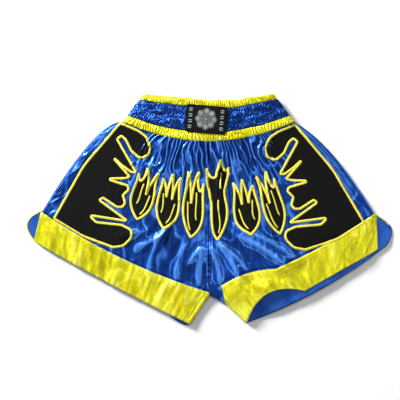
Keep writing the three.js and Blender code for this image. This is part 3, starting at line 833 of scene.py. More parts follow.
def laid_thread(name, dark, light, roughness, hollow_shade=0.0):
    """Satin stitch: threads lie across the border, so ridges follow each other along u. Where a
    mesh keeps its crests, shade is painted into its hollows: their colour falls to the given share."""
    material, shader, add, link = nodes_of(name)
    along = cloth_coordinates(add, True, PER_MM)
    strands = ribs_along(add, along, "X", 0.7, 1.5)
    fuzz = cloudy(add, along, 1.3, 3.0)
    tone = ranged(add, number(add, strands, fuzz, "MULTIPLY"), 0.05, 0.45)
    colour = between(add, tone, dark, light)
    if hollow_shade:
        crest = add("Attribute", attribute_name="crest").outputs["Fac"]
        colour = times(add, colour, ranged(add, crest, -0.7, 0.8, hollow_shade))
    finish_shader(
        shader, link,
        Base_Color=colour,
        Roughness=ranged(add, fuzz, 0.0, 1.0, roughness - 0.08, roughness + 0.12),
        Normal=relief(add, strands, 0.6, 0.00025),
        Sheen_Weight=0.1,
    )
    return material


def ribbed_web(name, dark, light):
    """Elastic webbing with ribs across the band."""
    material, shader, add, link = nodes_of(name)
    place = cloth_coordinates(add, False, PER_MM)
    ribs = ribs_along(add, place, "Y", 0.25, 0.4)
    tone = number(add, ribs, cloudy(add, place, 0.15, 4.0), "MULTIPLY")
    finish_shader(
        shader, link,
        Base_Color=between(add, tone, dark, light),
        Normal=relief(add, ribs, 0.6, 0.0004),
        Roughness=0.85,
    )
    return material


# %% [markdown]
# ### The seven finishes
# Each finish is made once and shared by all the pieces in it. The two satins differ in colour and
# in the depth of their painted shade: blue goes from nearly black in a hollow to pale on a crest,
# and yellow changes less. The gleam of each is the colour of its painted highlight.

# %% The seven finishes
materials[BLUE] = satin(
    BLUE, dark=(0.005, 0.036, 0.25, 1), light=(0.014, 0.085, 0.44, 1),
    gleam=(0.13, 0.38, 0.95, 1), tint=(0.35, 0.62, 1, 1),
    roughness=0.29, metallic=0.62, depth=3.4, edge=0.9,
)
materials[YELLOW] = satin(
    YELLOW, dark=(0.70, 0.60, 0.006, 1), light=(0.86, 0.87, 0.02, 1),
    gleam=(1.0, 1.0, 0.2, 1), tint=(1, 0.96, 0.45, 1),
    roughness=0.30, metallic=0.42, depth=1.6, edge=0.45,
)
materials[BLACK] = twill(BLACK, (0.0015, 0.0018, 0.0015, 1), (0.008, 0.009, 0.008, 1))
materials[LABEL] = twill(LABEL, (0.002, 0.002, 0.003, 1), (0.012, 0.012, 0.014, 1))
materials[THREAD] = laid_thread(THREAD, (0.72, 0.60, 0.02, 1), (0.97, 0.93, 0.09, 1), 0.42)
materials[GREY] = laid_thread(GREY, (0.16, 0.2, 0.17, 1), (0.5, 0.57, 0.5, 1), 0.6, hollow_shade=0.12)
materials[WEB] = ribbed_web(WEB, (0.62, 0.61, 0.57, 1), (0.86, 0.85, 0.81, 1))
print("finishes:", ", ".join(materials))

# %% [markdown]
# ## Leg panels
# A panel is cut as one piece from the waist to the hem and lies under the hem band, which is why
# the inside of a leg is blue right to its edge. On the grid u runs from the centre seam to the
# side seam and v from the waist to the hem. The columns are close enough to carry the narrow
# gathers under the elastic.

# %% Leg panels
NAMES = {-1: "left", 1: "right"}
PANEL_GRID = {"front": (210, 214), "back": (90, 80)}  # rows and columns
CLOTH = 0.35
CLOTH_WIDTH = 290  # how wide the UV map takes a leg to be
# Painted light beside each side seam: above zero painted light, below zero painted shade.
SIDE_PAINTED_LIGHT = {-1: -0.5, 1: 0.28}  # how much brighter the cloth beside each side seam is


def sheet_grid(side, face, u, v, lift=0.0, start=0.0):
    """A grid of points over a layer with the u values as columns and the v values as rows. The
    start moves the inner end of each row outwards, by a share of the row."""
    vv, uu = np.meshgrid(v, u, indexing="ij")
    uu = uu + np.reshape(start, (-1, 1)) * (1 - uu)
    points = lay(side, face, uu, vv, lift)
    uv = np.stack([uu * CLOTH_WIDTH * side, vv * RISE], -1).reshape(-1, 2)
    return points.reshape(-1, 3), uv


def facing(side, faces, up):
    """Turns quads over where the grid's normals would point the wrong way."""
    return faces[:, ::-1] if (side > 0) == up else faces


def add_panel(side, face):
    """One layer of one leg. A quarter of u follows a sine, so the columns stand closer together
    near the side seam, where the height falls away."""
    up = face == "front"
    rows, columns = PANEL_GRID[face]
    u = np.sin(np.linspace(0, np.pi / 2, columns)) * 0.25 + np.linspace(0, 1, columns) * 0.75
    v = np.linspace(-0.012, 1 + BAND_V - 0.004, rows)
    points, uv = sheet_grid(side, face, u, v)
    name = f"{face}_panel_{NAMES[side]}"
    piece = make_piece(name, points, facing(side, grid_faces(rows, columns), up), uv, BLUE, [name])
    x, y, height = points.T.reshape(3, rows, columns)
    if up:
        # Painted light and shade on the front: from the painted sheen, the folds' crests and the
        # side seams.
        painted_sheen = streaks(side * u[None, :], v[:, None], x, y)
        keep_values(piece, "painted_sheen", painted_sheen)
        folds = 0.4 * crest_of(height, 7, 2.2) + 0.45 * crest_of(height, 1, 0.25)
        keep_crest(piece, folds + 0.08 + 0.55 * painted_sheen + SIDE_PAINTED_LIGHT[side] * blend_step(0.88, 0.96, u))
    else:
        # Painted light on the back all over, and painted shade in the hollows of its waves.
        keep_crest(piece, 0.45 + 0.3 * crest_of(height, 3, 1.0))
    thicken(piece, CLOTH, -1 if up else 1)
    return piece


panels = [add_panel(side, face) for side in (-1, 1) for face in ("back", "front")]
print("panels:", [(p.name, len(p.data.vertices)) for p in panels])

# %% [markdown]
# ## Hem bands
# Each hem band is a second layer of satin sewn over the foot of a panel. It is laid on the same
# drape with a small lift, so it follows every fold of the panel below.

# %% Hem bands
OVER = 0.65  # how far cloth laid on the panel stands over it
BAND_GRID = (44, 250)  # rows and columns
BAND_CLOTH = {"front": 0.5, "back": 0.1}
INNER_TAPER = {-1: 0.0, 1: 0.043}  # how far out the band's top corner beside the gusset lies
TABLE_GAP = 0.12  # no cloth comes closer to the table than this


def add_hem_band(side, face):
    """A hem band in front of or behind a leg, from its inseam to the slit. It rolls down to the
    panel at its upper and lower edge, as e to the power of minus the distance."""
    up = face == "front"
    rows, columns = BAND_GRID
    u = np.linspace(0.004, 1.0 if up else 0.985, columns)
    v = np.linspace(BAND_START[side], 1 + BAND_V - (0 if up else 0.012), rows)
    rolled = OVER + 0.3 - 0.7 * np.exp(-((v - v[0]) / 0.006)) - 0.7 * np.exp(-((v[-1] - v) / 0.004))
    lift = np.broadcast_to(rolled[:, None], BAND_GRID)
    start = INNER_TAPER[side] * blend_step(1.05, 0.96, v)
    points, uv = sheet_grid(side, face, u, v, lift if up else -lift, start)
    points[:, 2] = np.maximum(points[:, 2], TABLE_GAP)
    name = f"hem_band_{face}_{NAMES[side]}"
    faces = facing(side, grid_faces(rows, columns), up)
    piece = make_piece(name, points, faces, uv, YELLOW, [name])
    height = points[:, 2].reshape(BAND_GRID)
    # Painted light and shade on the band: from the painted sheen and the crests of its puckers.
    painted_sheen = band_painted_sheen(side * u[None, :], v[:, None])
    keep_values(piece, "painted_sheen", painted_sheen)
    keep_crest(piece, 0.4 * crest_of(height, 5, 1.2) + 0.25 * crest_of(height, 1, 0.25) + 0.5 * painted_sheen)
    thicken(piece, BAND_CLOTH[face])
    return piece


bands = [add_hem_band(side, face) for side in (-1, 1) for face in ("back", "front")]
print("hem bands:", len(bands))

# %% [markdown]
# ## Cut-out appliques and their satin-stitch borders
# An applique is a flat outline filled with triangles and laid on the drape. The outline is drawn
# in cloth coordinates, so it lies on the leg as it was sewn. A border is a narrow arch of thread
# carried along the outline; each millimetre of it is a little higher or lower than the last, as
# machine embroidery is.

# %% Outlines
APPLIQUE_CLOTH = 0.5


def rounded_outline(corners, steps=6):
    """Corners [u, v, radius in mm] as a closed plan outline. Each corner's arc is a rational
    quadratic curve whose middle weight is the sine of half the corner's angle."""
    plan_corners = [(np.array(p[:2]), p[2]) for p in corners]
    outline = []
    for i, (at, radius) in enumerate(plan_corners):
        before = plan_corners[i - 1][0] - at
        after = plan_corners[(i + 1) % len(plan_corners)][0] - at
        lengths = np.linalg.norm(before), np.linalg.norm(after)
        half = np.arccos(np.clip(before @ after / (lengths[0] * lengths[1]), -1, 1)) / 2
        if radius == 0:
            outline.append(at[None])
            continue
        run = min(radius / np.tan(half), 0.48 * min(lengths))
        start, end = at + before * run / lengths[0], at + after * run / lengths[1]
        t = np.linspace(0, 1, steps)[:, None]
        weights = (1 - t) ** 2, 2 * t * (1 - t) * np.sin(half), t**2
        outline.append((weights[0] * start + weights[1] * at + weights[2] * end) / sum(weights))
    return np.concatenate(outline)


def even_path(path, step, closed=True, soften=0):
    """The path with a point every step mm. Softening replaces each point by the mean of itself
    and its neighbours a few times."""
    line = np.vstack([path, path[:1]]) if closed else path
    lengths = np.r_[0, np.cumsum(np.linalg.norm(np.diff(line, axis=0), axis=1))]
    count = max(8, int(round(lengths[-1] / step)))
    at = np.linspace(0, lengths[-1], count + 1)
    at = at[:-1] if closed else at
    even = np.stack([np.interp(at, lengths, line[:, k]) for k in (0, 1)], -1)
    for _ in range(soften):
        mean = (np.roll(even, 1, 0) + even * 2 + np.roll(even, -1, 0)) / 4
        even = mean if closed else np.vstack([even[:1], mean[1:-1], even[-1:]])
    return even


def fill_outline(outline, spacing):
    """Points and triangles inside a plan outline: a lattice of points that are inside it and
    clear of it, joined by a Delaunay triangulation that keeps the outline's edges."""
    low, high = outline.min(0), outline.max(0)
    gx, gy = np.meshgrid(np.arange(low[0], high[0], spacing), np.arange(low[1], high[1], spacing))
    gx = gx + (np.arange(len(gx)) % 2)[:, None] * spacing / 2
    lattice = np.stack([gx.ravel(), gy.ravel()], -1)
    a, b = outline, np.roll(outline, -1, 0)
    x, y = lattice[:, :1], lattice[:, 1:]
    crosses = (a[:, 1] > y) != (b[:, 1] > y)
    rise = np.where(b[:, 1] == a[:, 1], 1e-9, b[:, 1] - a[:, 1])
    odd = (crosses & (x < (b[:, 0] - a[:, 0]) * (y - a[:, 1]) / rise + a[:, 0])).sum(1) % 2
    nearest = np.min(np.hypot(x - a[:, 0], y - a[:, 1]), axis=1)
    lattice = lattice[(odd == 1) & (nearest > 0.55 * spacing)]
    everything = np.vstack([outline, lattice])
    made = delaunay_2d_cdt(
        [Vector(p) for p in everything], [], [list(range(len(outline)))], 1, 1e-5
    )
    return np.array([p[:] for p in made[0]]), np.array([f[:] for f in made[2]])


def add_applique(name, outline, spacing=2.0):
    """A flat cut-out of black cloth laid on the front."""
    xy, faces = fill_outline(outline, spacing)
    piece = make_piece(name, lay_plan(xy, OVER), faces, xy, BLACK, [name])
    thicken(piece, APPLIQUE_CLOTH)


# %% [markdown]
# ### Satin-stitch borders
# A stitched border is a narrow arch of thread along the outline. A bevelled curve would give an
# even tube. This strip is a little wider or narrower, higher or lower at each step, as machine
# embroidery is.

# %% Satin stitch
ARCH = 9  # points across the arch of a stitched border


def sideways_of(path, closed):
    """The plan direction to the left of the path's direction of travel, at each point."""
    ahead = np.roll(path, -1, 0) - np.roll(path, 1, 0)
    if not closed:
        ahead[0], ahead[-1] = path[1] - path[0], path[-1] - path[-2]
    ahead /= np.maximum(np.linalg.norm(ahead, axis=1, keepdims=True), 1e-9)
    return np.stack([-ahead[:, 1], ahead[:, 0]], -1)


def thread_strip(path, closed, width, height, seed):
    """Points, faces and UV of an arch of thread along a plan path. Across it the arch follows the
    square root of 1 - a²; its width and height change a little from step to step."""
    n = len(path)
    rng = np.random.default_rng(seed)
    wide = width / 2 * (1 + 0.07 * rng.uniform(-1, 1, n))
    high = height * (1 + 0.12 * rng.uniform(-1, 1, n))
    if not closed:
        taper = np.sqrt(np.clip(np.minimum(np.arange(n), n - 1 - np.arange(n)) / 3, 0, 1))
        wide, high = wide * np.maximum(taper, 0.15), high * np.maximum(taper, 0.3)
    a = np.linspace(-1, 1, ARCH)
    across, arch = np.r_[a, 0.6, -0.6], np.r_[np.sqrt(1 - a**2), -0.3, -0.3]
    aside = sideways_of(path, closed)
    xy = path[:, None] + aside[:, None] * (across * wide[:, None])[..., None]
    points = lay_plan(xy.reshape(-1, 2), (OVER + arch * high[:, None]).ravel())
    uv = np.stack(np.broadcast_arrays(running_length(path)[:, None], across * width / 2), -1)
    return points, tube_faces(n, len(across), closed), uv.reshape(-1, 2)


def join_strips(strips):
    """Several strips' points, faces and UV as one."""
    points, faces, uv, start = [], [], [], 0
    for p, f, t in strips:
        faces += [[k + start for k in face] for face in f]
        points.append(p)
        uv.append(t)
        start += len(p)
    return np.vstack(points), faces, np.vstack(uv)


# %% [markdown]
# ### The side appliques
# Six tongues reach from the side panel towards the centre. Both sides use the same corners.

# %% Side appliques
BORDER_WIDTH, BORDER_HEIGHT = 4.3, 0.9
# Corners of the outline as (u, v, radius in mm). From the top of the side seam it runs in under
# the waistband, round the six tongues from the highest to the lowest, and back along the hem.
TONGUES = [
    (0.965, 0.03, 0), (0.77, 0.03, 6), (0.65, 0.055, 18), (0.56, 0.13, 12),
    (0.545, 0.19, 8), (0.595, 0.24, 10), (0.69, 0.21, 14), (0.785, 0.145, 6),
    (0.84, 0.13, 3), (0.85, 0.172, 3), (0.58, 0.35, 1.5), (0.615, 0.362, 6),
    (0.7, 0.345, 10), (0.83, 0.305, 1.5), (0.61, 0.4, 1.5), (0.64, 0.427, 5),
    (0.76, 0.497, 1.5), (0.65, 0.476, 8), (0.6, 0.468, 4), (0.585, 0.492, 3),
    (0.608, 0.55, 2), (0.577, 0.595, 3), (0.585, 0.632, 3), (0.617, 0.65, 6),
    (0.72, 0.637, 2), (0.737, 0.667, 2), (0.525, 0.71, 1), (0.64, 0.755, 20),
    (0.755, 0.808, 2), (0.7, 0.828, 8), (0.555, 0.757, 12), (0.487, 0.757, 12),
    (0.477, 0.81, 14), (0.51, 0.89, 16), (0.56, 0.945, 12), (0.742, 0.978, 60),
    (0.92, 0.978, 0), (0.93, 0.5, 150),
]


def cloth_outline(side, corners):
    """Corners in cloth coordinates as corners in the plan, with the same radii."""
    places = plan(side, "front", *np.array([c[:2] for c in corners]).T)
    return [(x, y, corner[2]) for (x, y), corner in zip(places, corners)]


for side in (-1, 1):
    outline = rounded_outline(cloth_outline(side, TONGUES))
    add_applique(f"applique_{NAMES[side]}", even_path(outline, 1.8))
    path = even_path(outline, 0.8, soften=2)
    strip = thread_strip(path, True, BORDER_WIDTH, BORDER_HEIGHT, 41 + side)
    name = f"applique_border_{NAMES[side]}"
    make_piece(name, *strip, THREAD, [name])
    print(name, "length:", round(len(path) * 0.8), "mm")

# %% [markdown]
# ### The row of flames
# Six flames cross the front. There are three designs, each a closed run of Bezier curves in a box
# from -1 to 1, and two slits of thread inside each body. A design is mirrored and stretched to
# its place in the row.

# %% Flames
DESIGNS = {
    "hooked": (
        (0.05, -1),
        ((0.5, -0.8), (0.95, -0.5), (0.95, -0.1)),
        ((0.95, 0.3), (0.6, 0.55), (0.85, 0.95)),
        ((0.5, 0.8), (0.28, 0.4), (0.22, 0)),
        ((0.18, 0.4), (0.05, 0.8), (-0.4, 1)),
        ((-0.28, 0.75), (-0.4, 0.55), (-0.55, 0.45)),
        ((-0.68, 0.4), (-0.85, 0.5), (-0.98, 0.7)),
        ((-0.85, 0.3), (-1, 0.1), (-0.95, -0.25)),
        ((-0.9, -0.6), (-0.4, -0.85), (0.05, -1)),
    ),
    "forked": (
        (-0.05, -1),
        ((0.45, -0.8), (0.95, -0.6), (0.95, -0.2)),
        ((1, 0.25), (0.62, 0.5), (0.78, 0.95)),
        ((0.45, 0.75), (0.3, 0.45), (0.25, 0.1)),
        ((0.22, 0.4), (0.12, 0.75), (-0.08, 1)),
        ((-0.22, 0.75), (-0.28, 0.4), (-0.28, 0.12)),
        ((-0.4, 0.42), (-0.6, 0.6), (-0.9, 0.72)),
        ((-0.85, 0.4), (-1, 0.1), (-0.95, -0.2)),
        ((-0.92, -0.6), (-0.5, -0.85), (-0.05, -1)),
    ),
    "crest": (
        (-0.15, -1),
        ((0.3, -0.85), (0.62, -0.6), (0.58, -0.3)),
        ((0.55, -0.1), (0.45, 0), (0.48, 0.15)),
        ((0.58, 0.35), (0.85, 0.45), (1, 0.75)),
        ((0.7, 0.62), (0.5, 0.68), (0.35, 1)),
        ((0.15, 0.85), (-0.02, 0.75), (-0.15, 0.6)),
        ((-0.35, 0.55), (-0.7, 0.6), (-0.95, 0.85)),
        ((-0.95, 0.4), (-0.6, 0.2), (-0.55, -0.1)),
        ((-0.6, -0.5), (-0.5, -0.85), (-0.15, -1)),
    ),
}
SLITS = {
    "hooked": (((0.12, -0.8), (0.5, -0.55), (0.45, -0.25), (0.6, 0.15)),
               ((-0.35, -0.45), (-0.15, -0.2), (-0.4, 0.05), (-0.2, 0.5))),
    "forked": (((0.05, -0.8), (0.45, -0.55), (0.4, -0.35), (0.62, 0.1)),
               ((-0.5, -0.5), (-0.3, -0.25), (-0.55, 0.0), (-0.62, 0.3))),
    "crest": (((-0.1, -0.85), (0.25, -0.6), (-0.2, -0.3), (0.02, 0.1)),
              ((0.2, 0.25), (0.1, 0.4), (0.3, 0.5), (0.3, 0.75))),
}
FLAMES = [
    ("hooked", 1, (-0.477, 0.478), (0.08, 0.19)),
    ("forked", 1, (-0.293, 0.46), (0.081, 0.195)),
    ("hooked", -1, (-0.113, 0.43), (0.076, 0.22)),
    ("crest", 1, (0.085, 0.4), (0.106, 0.265)),
    ("forked", -1, (0.278, 0.505), (0.086, 0.2)),
    ("hooked", -1, (0.458, 0.525), (0.07, 0.231)),
]
SLIT_WIDTH, SLIT_HEIGHT = 2.6, 0.7


def bezier(start, a, b, end, steps=12):
    """A cubic Bezier curve without its last point."""
    t = np.linspace(0, 1, steps + 1)[:-1, None]
    return ((1 - t) ** 3 * np.array(start) + 3 * t * (1 - t) ** 2 * np.array(a)
            + 3 * t * t * (1 - t) * np.array(b) + t**3 * np.array(end))


def on_cloth(points, facing_way, middle, half):
    """Points of a design's box at their plan places on the cloth."""
    s = middle[0] + facing_way * points[:, 0] * half[0]
    t = middle[1] - points[:, 1] * half[1]
    left, right = plan(-1, "front", -s, t), plan(1, "front", s, t)
    return np.where((s < 0)[:, None], left, right)


for number_in_row, (design, way, middle, half) in enumerate(FLAMES, 1):
    start, *curves = DESIGNS[design]
    ends = [start] + [curve[2] for curve in curves]
    loop = np.concatenate([bezier(p, *curve) for p, curve in zip(ends, curves)])
    outline = on_cloth(loop, way, middle, half)
    add_applique(f"flame_{number_in_row}", even_path(outline, 1.2), 1.7)
    path = even_path(outline, 0.7, soften=2)
    strips = [thread_strip(path, True, BORDER_WIDTH, BORDER_HEIGHT, 50 + number_in_row)]
    for slit in SLITS[design]:
        line = even_path(on_cloth(bezier(*slit), way, middle, half), 0.7, closed=False)
        strips.append(thread_strip(line, False, SLIT_WIDTH, SLIT_HEIGHT, 60 + number_in_row))
    name = f"flame_border_{number_in_row}"
    make_piece(name, *join_strips(strips), THREAD, [name])
print("flames:", len(FLAMES))

# %% [markdown]
# ## Seams, welts and bindings
# A seam is where two layers are sewn and turned. On the sides it shows as a narrow rounded welt
# just in from the fold; inside the leg it is the seam allowance. Both are a profile carried along
# a line on the drape. The back flap of each slit has a thin yellow binding round its edge.

# %% Strips carried along the drape
TUBE = 10  # points round a strip


def strip_along(side, face, u, v, lift, width, height):
    """An oval strip along a run of cloth coordinates. Its middle line is on the drape, up is the
    drape's normal, and sideways is up crossed with the direction of travel."""
    u, v = np.broadcast_arrays(np.asarray(u, float), np.asarray(v, float))
    middle = lay(side, face, u, v, lift)
    up = lay(side, face, u, v, lift + 1.0) - middle
    if face == "back":
        up = -up
    ahead = np.gradient(middle, axis=0)
    ahead /= np.linalg.norm(ahead, axis=1, keepdims=True)
    aside = np.cross(up, ahead)
    angle = np.linspace(0, 2 * np.pi, TUBE, endpoint=False)
    across, rise = np.cos(angle) * width / 2, np.sin(angle) * height
    points = (middle[:, None] + aside[:, None] * across[None, :, None]
              + up[:, None] * rise[None, :, None])
    uv = np.stack(np.broadcast_arrays(running_length(middle)[:, None], angle * width / 4), -1)
    return points.reshape(-1, 3), tube_faces(len(middle), TUBE, False), uv.reshape(-1, 2)


# %% [markdown]
# ### Side seams and inseams
# The welt of a side seam lies on the cloth just in from the fold. The allowance of an inseam lies
# under the front layer of the hem, where it stiffens the edge.

# %% Side seams and inseams
WELT_U, WELT_WIDTH, WELT_HEIGHT = 0.985, 3.2, 0.75
ALLOWANCE_U, ALLOWANCE_DEPTH, ALLOWANCE_WIDTH, ALLOWANCE_HEIGHT = 0.02, -1.2, 5.0, 0.5
for side in (-1, 1):
    run = np.linspace(0.0, 0.965, 220)
    welt = strip_along(side, "front", WELT_U, run, 0.1, WELT_WIDTH, WELT_HEIGHT)
    name = f"side_seam_{NAMES[side]}"
    outward(make_piece(name, *welt, BLUE, [name]))
    run = np.linspace(1.0, 1 + BAND_V - 0.01, 60)
    allowance = strip_along(side, "front", ALLOWANCE_U, run, ALLOWANCE_DEPTH, ALLOWANCE_WIDTH,
                            ALLOWANCE_HEIGHT)
    name = f"inseam_{NAMES[side]}"
    outward(make_piece(name, *allowance, BLUE, [name]))
    print("welt and inseam of the", NAMES[side], "leg")

# %% [markdown]
# ## The crotch gusset
# A small patch joins the two legs. It runs down the front, folds at the crotch and goes up the
# back, and little puckers spread from its stitches.

# %% Gusset
GUSSET_ROWS, GUSSET_TURN, GUSSET_COLUMNS = 26, 7, 40  # each ply's rows, the fold's, the columns
GUSSET_BACK = 0.9  # how far the back ply lies over the table


def gusset():
    """Rows run down the front ply, round the fold and up the back ply; columns go from the left
    leg's edge to the right's. The front takes its height from both legs' edges, and the fold is
    a half circle."""
    low = {side: np.array(LAY[side]["crotch"]) * [side, 1] + TO_MIDDLE for side in (-1, 1)}
    high = {side: np.array([side * (GUSSET_HALF + 1.5), GUSSET_HEIGHT + 1.0]) + TO_MIDDLE
            for side in (-1, 1)}
    b = np.linspace(1, 0, GUSSET_ROWS)
    a = np.linspace(-0.04, 1.04, GUSSET_COLUMNS)
    turn = np.linspace(0, np.pi, GUSSET_TURN + 2)[1:-1]
    edge_z = {side: lay(side, "front", 0.0, 1 - 0.1 * b)[:, 2] for side in (-1, 1)}
    rows_b = np.r_[b, 0 * turn, b[::-1]]
    left, right = mix(low[-1], high[-1], rows_b), mix(low[1], high[1], rows_b)
    xy = mix(left[:, None], right[:, None], np.broadcast_to(a, (len(rows_b), len(a))))
    pucker = 0.5 * noise(a * 7 + 3, b[:, None] * 2, 61) + 0.35 * noise(a * 13, b[:, None] * 3, 62)
    front = (1 - a) * edge_z[-1][:, None] + a * edge_z[1][:, None] + 0.7
    front = front + pucker * (0.4 + 0.6 * b[:, None])
    back = np.full(front.shape, GUSSET_BACK)
    fold = GUSSET_BACK + (front[-1] - GUSSET_BACK) / 2 * (1 + np.cos(turn))[:, None]
    xy[len(b):len(b) + len(turn), :, 1] -= 2.0 * np.sin(turn)[:, None]
    z = np.vstack([front, fold, back])
    points = np.concatenate([xy, z[..., None]], -1)
    length = running_length(points[:, GUSSET_COLUMNS // 2])
    uv = np.stack(np.broadcast_arrays(a * 2 * GUSSET_HALF, length[:, None]), -1)
    return points.reshape(-1, 3), grid_faces(*z.shape)[:, ::-1], uv.reshape(-1, 2)


piece = make_piece("crotch_gusset", *gusset(), BLUE, ["crotch_gusset"])
thicken(piece, 0.4)
print("gusset:", len(piece.data.polygons), "faces")

# %% [markdown]
# ## The waistband
# The waistband has three casings of satin, shirred by the elastics inside them. Each casing is a
# closed ring: the outer ply, the fold at its top and the inner ply. The elastic pulls the cloth
# into narrow upright ruffles, and the rows of stitches pinch them flat, so every row puffs out
# between its seams.

# %% The waistband's shape
ROW_TOP, ROW_MIDDLE, ROW_LOW, ROW_GAP = 14.0, 42.0, 16.0, 0.3
BAND_HEIGHT = ROW_TOP + ROW_MIDDLE + ROW_LOW
BAND_RADIUS, BAND_WALL, PINCH = 8.75, 3.8, 0.9
END_LEAN = 0.86  # how much of its full rise the band keeps at its ends
MEAN_HALF = 127  # half the band's mean width
# Where the front's top edge is pushed down, or up: mm from the middle, reach and depth in mm.
DENTS = ((27, 34, -4.0), (-62, 30, 1.6))


def band_place(run, angle, end, v, depth):
    """A place on the band: run goes from -1 to 1 along the front or back, the angle turns it over
    at an end, v is mm below the top edge and depth is mm in from the outside. The band rises to
    its ends as the square of x."""
    half = (WAIST_TOP + (WAIST_LOW - WAIST_TOP) * v / BAND_HEIGHT) / 2
    radius = BAND_RADIUS - depth
    x = run * (half - BAND_RADIUS) + end * radius * np.cos(angle)
    across = np.clip(np.abs(x) / half, 0, 1)
    share = v / BAND_HEIGHT
    middle = RISE + BAND_HEIGHT * (1 - share)
    low_end, top_end = RISE + LOW_SAG, RISE + BAND_HEIGHT + TOP_SAG
    sides = low_end + (top_end - low_end) * END_LEAN * (1 - share)
    slack = 0.9 * noise(x / 17 + 20, v / 40, 71) + 0.8 * noise(x / 4.5, v / 16, 72)
    dip = sum(deep * np.exp(-(((x - at) / reach) ** 2)) for at, reach, deep in DENTS)
    dip = np.where(np.sin(angle) > 0, dip * (1 - share) ** 1.5, -2.0 * (1 - share))
    y = middle + (sides - middle) * across**2 + dip + slack * (1 - 0.5 * share)
    z = np.maximum(BAND_RADIUS + radius * np.sin(angle), 0.04)
    return np.stack([x + TO_MIDDLE[0], y + TO_MIDDLE[1], z], -1)


def band_loop(front_count, end_count, back_count):
    """The stations of the loop: front run, right end, back run and left end."""
    run = np.linspace(-1, 1, front_count)
    turn = np.pi * (0.5 - np.linspace(0, 1, end_count + 2)[1:-1])
    back = np.linspace(1, -1, back_count)
    return (
        np.r_[run, 0 * turn + 1, back, 0 * turn - 1],
        np.r_[0 * run + np.pi / 2, turn, 0 * back - np.pi / 2, -turn],
        np.r_[0 * run, 0 * turn + 1, 0 * back, 0 * turn - 1],
    )

def along_loop(run, angle):
    """Running length in mm round the loop of stations, along its runs and round its ends."""
    steps = np.hypot(np.diff(run) * MEAN_HALF, np.diff(angle) * BAND_RADIUS)
    return np.cumsum(np.r_[0, steps])


ends = np.array([-1, 1])
at_top = band_place(ends, 0 * ends, ends, 0 * ends, 0 * ends)
print("the band's ends at its top edge:", at_top.round(1).tolist())

# %% [markdown]
# ### The casings
# A casing's ruffles are a cosine of a phase that noise makes wander, like the gathers, only
# closer. Between two seams the cloth puffs out as half an ellipse.

# %% Casings
CASING_LOOP = (760, 26, 330)  # stations along the front, round an end and along the back


def ruffles(share, v, count, wander, seed):
    """Upright ruffles: the size of a cosine of a wandering phase, rounded on top and sharp
    between, each with its own height."""
    phase = count * share + wander * noise(share * count * 0.33 + 40, v / 10, seed)
    phase = phase + 0.3 * wander * noise(share * count * 0.9 + 11, v / 4.5, seed + 1)
    height = 0.75 + 0.35 * noise(np.round(phase) * 0.7 + 60, v / 7, seed + 2)
    return (np.abs(np.cos(np.pi * phase)) ** 0.75) * height


def puff_between(edges, v):
    """Half an ellipse, flattened, between each two seams: (1 - (2 share - 1)²) to a power."""
    nearest = np.clip(np.searchsorted(edges, v, side="right") - 1, 0, len(edges) - 2)
    share = (v - edges[nearest]) / (edges[nearest + 1] - edges[nearest])
    return np.clip(1 - (2 * share - 1) ** 2, 0, 1) ** 0.4


def add_casing(name, slot, top, low, seams, count, wander, deep, seed):
    """One casing, a closed ring in its section: down the outer ply and back up the inner one. The
    ruffles stand on the outer ply, count of them to each half width of the band."""
    run, angle, end = (station[:, None] for station in band_loop(*CASING_LOOP))
    outer_v = np.linspace(top, low, max(20, int((low - top) * 1.3)))
    inner_v = np.linspace(low, top, 7)
    v = np.r_[outer_v, inner_v]
    outer = np.arange(len(v)) < len(outer_v)
    puff = puff_between(np.array([top, *seams, low]), v)
    around = along_loop(run[:, 0], angle[:, 0])[:, None]
    wave = ruffles(around / MEAN_HALF, v[None], count, wander, seed)
    pinched = PINCH - 0.55 * (wave - 0.5)
    full = PINCH - puff * (1.0 + deep * (wave - 0.35)) - 0.5 * (wave - 0.5) * (1 - puff)
    depth = np.where(outer, np.minimum(full, pinched), BAND_WALL - 0.25 * wave)
    points = band_place(run, angle, end, v + 0 * depth, depth)
    uv = np.stack(np.broadcast_arrays(around * 1.6, v + 60 * (1 - outer)), -1)
    faces = grid_faces(*depth.shape, wrap_rows=True, wrap_columns=True)
    piece = make_piece(name, points.reshape(-1, 3), faces, uv.reshape(-1, 2), slot, [name])
    # Painted light and shade: lighter ruffle tops, darker seams and gaps, a slightly darker inner
    # ply.
    standing = (wave - 0.62) * 2.4 * (0.35 + 0.65 * puff) - 0.9 * (1 - puff) ** 2
    keep_crest(piece, np.where(outer, standing, -0.2))
    outward(piece)


MIDDLE_END = ROW_TOP + ROW_MIDDLE
MIDDLE_SEAM = ROW_TOP + ROW_MIDDLE / 2
add_casing("waist_casing_top", YELLOW, 0, ROW_TOP, [], 31, 0.9, 1.7, 81)
add_casing("waist_casing_middle", BLUE, ROW_TOP + ROW_GAP, MIDDLE_END, [MIDDLE_SEAM],
           26, 1.5, 2.4, 84)
add_casing("waist_casing_low", YELLOW, MIDDLE_END + ROW_GAP, BAND_HEIGHT, [], 29, 1.0, 1.7, 87)

# %% [markdown]
# ### The elastics
# Each casing holds a flat woven elastic, and the middle one holds two. They are hidden, but they
# are what gathers the cloth, so each is here as a ribbed ring.

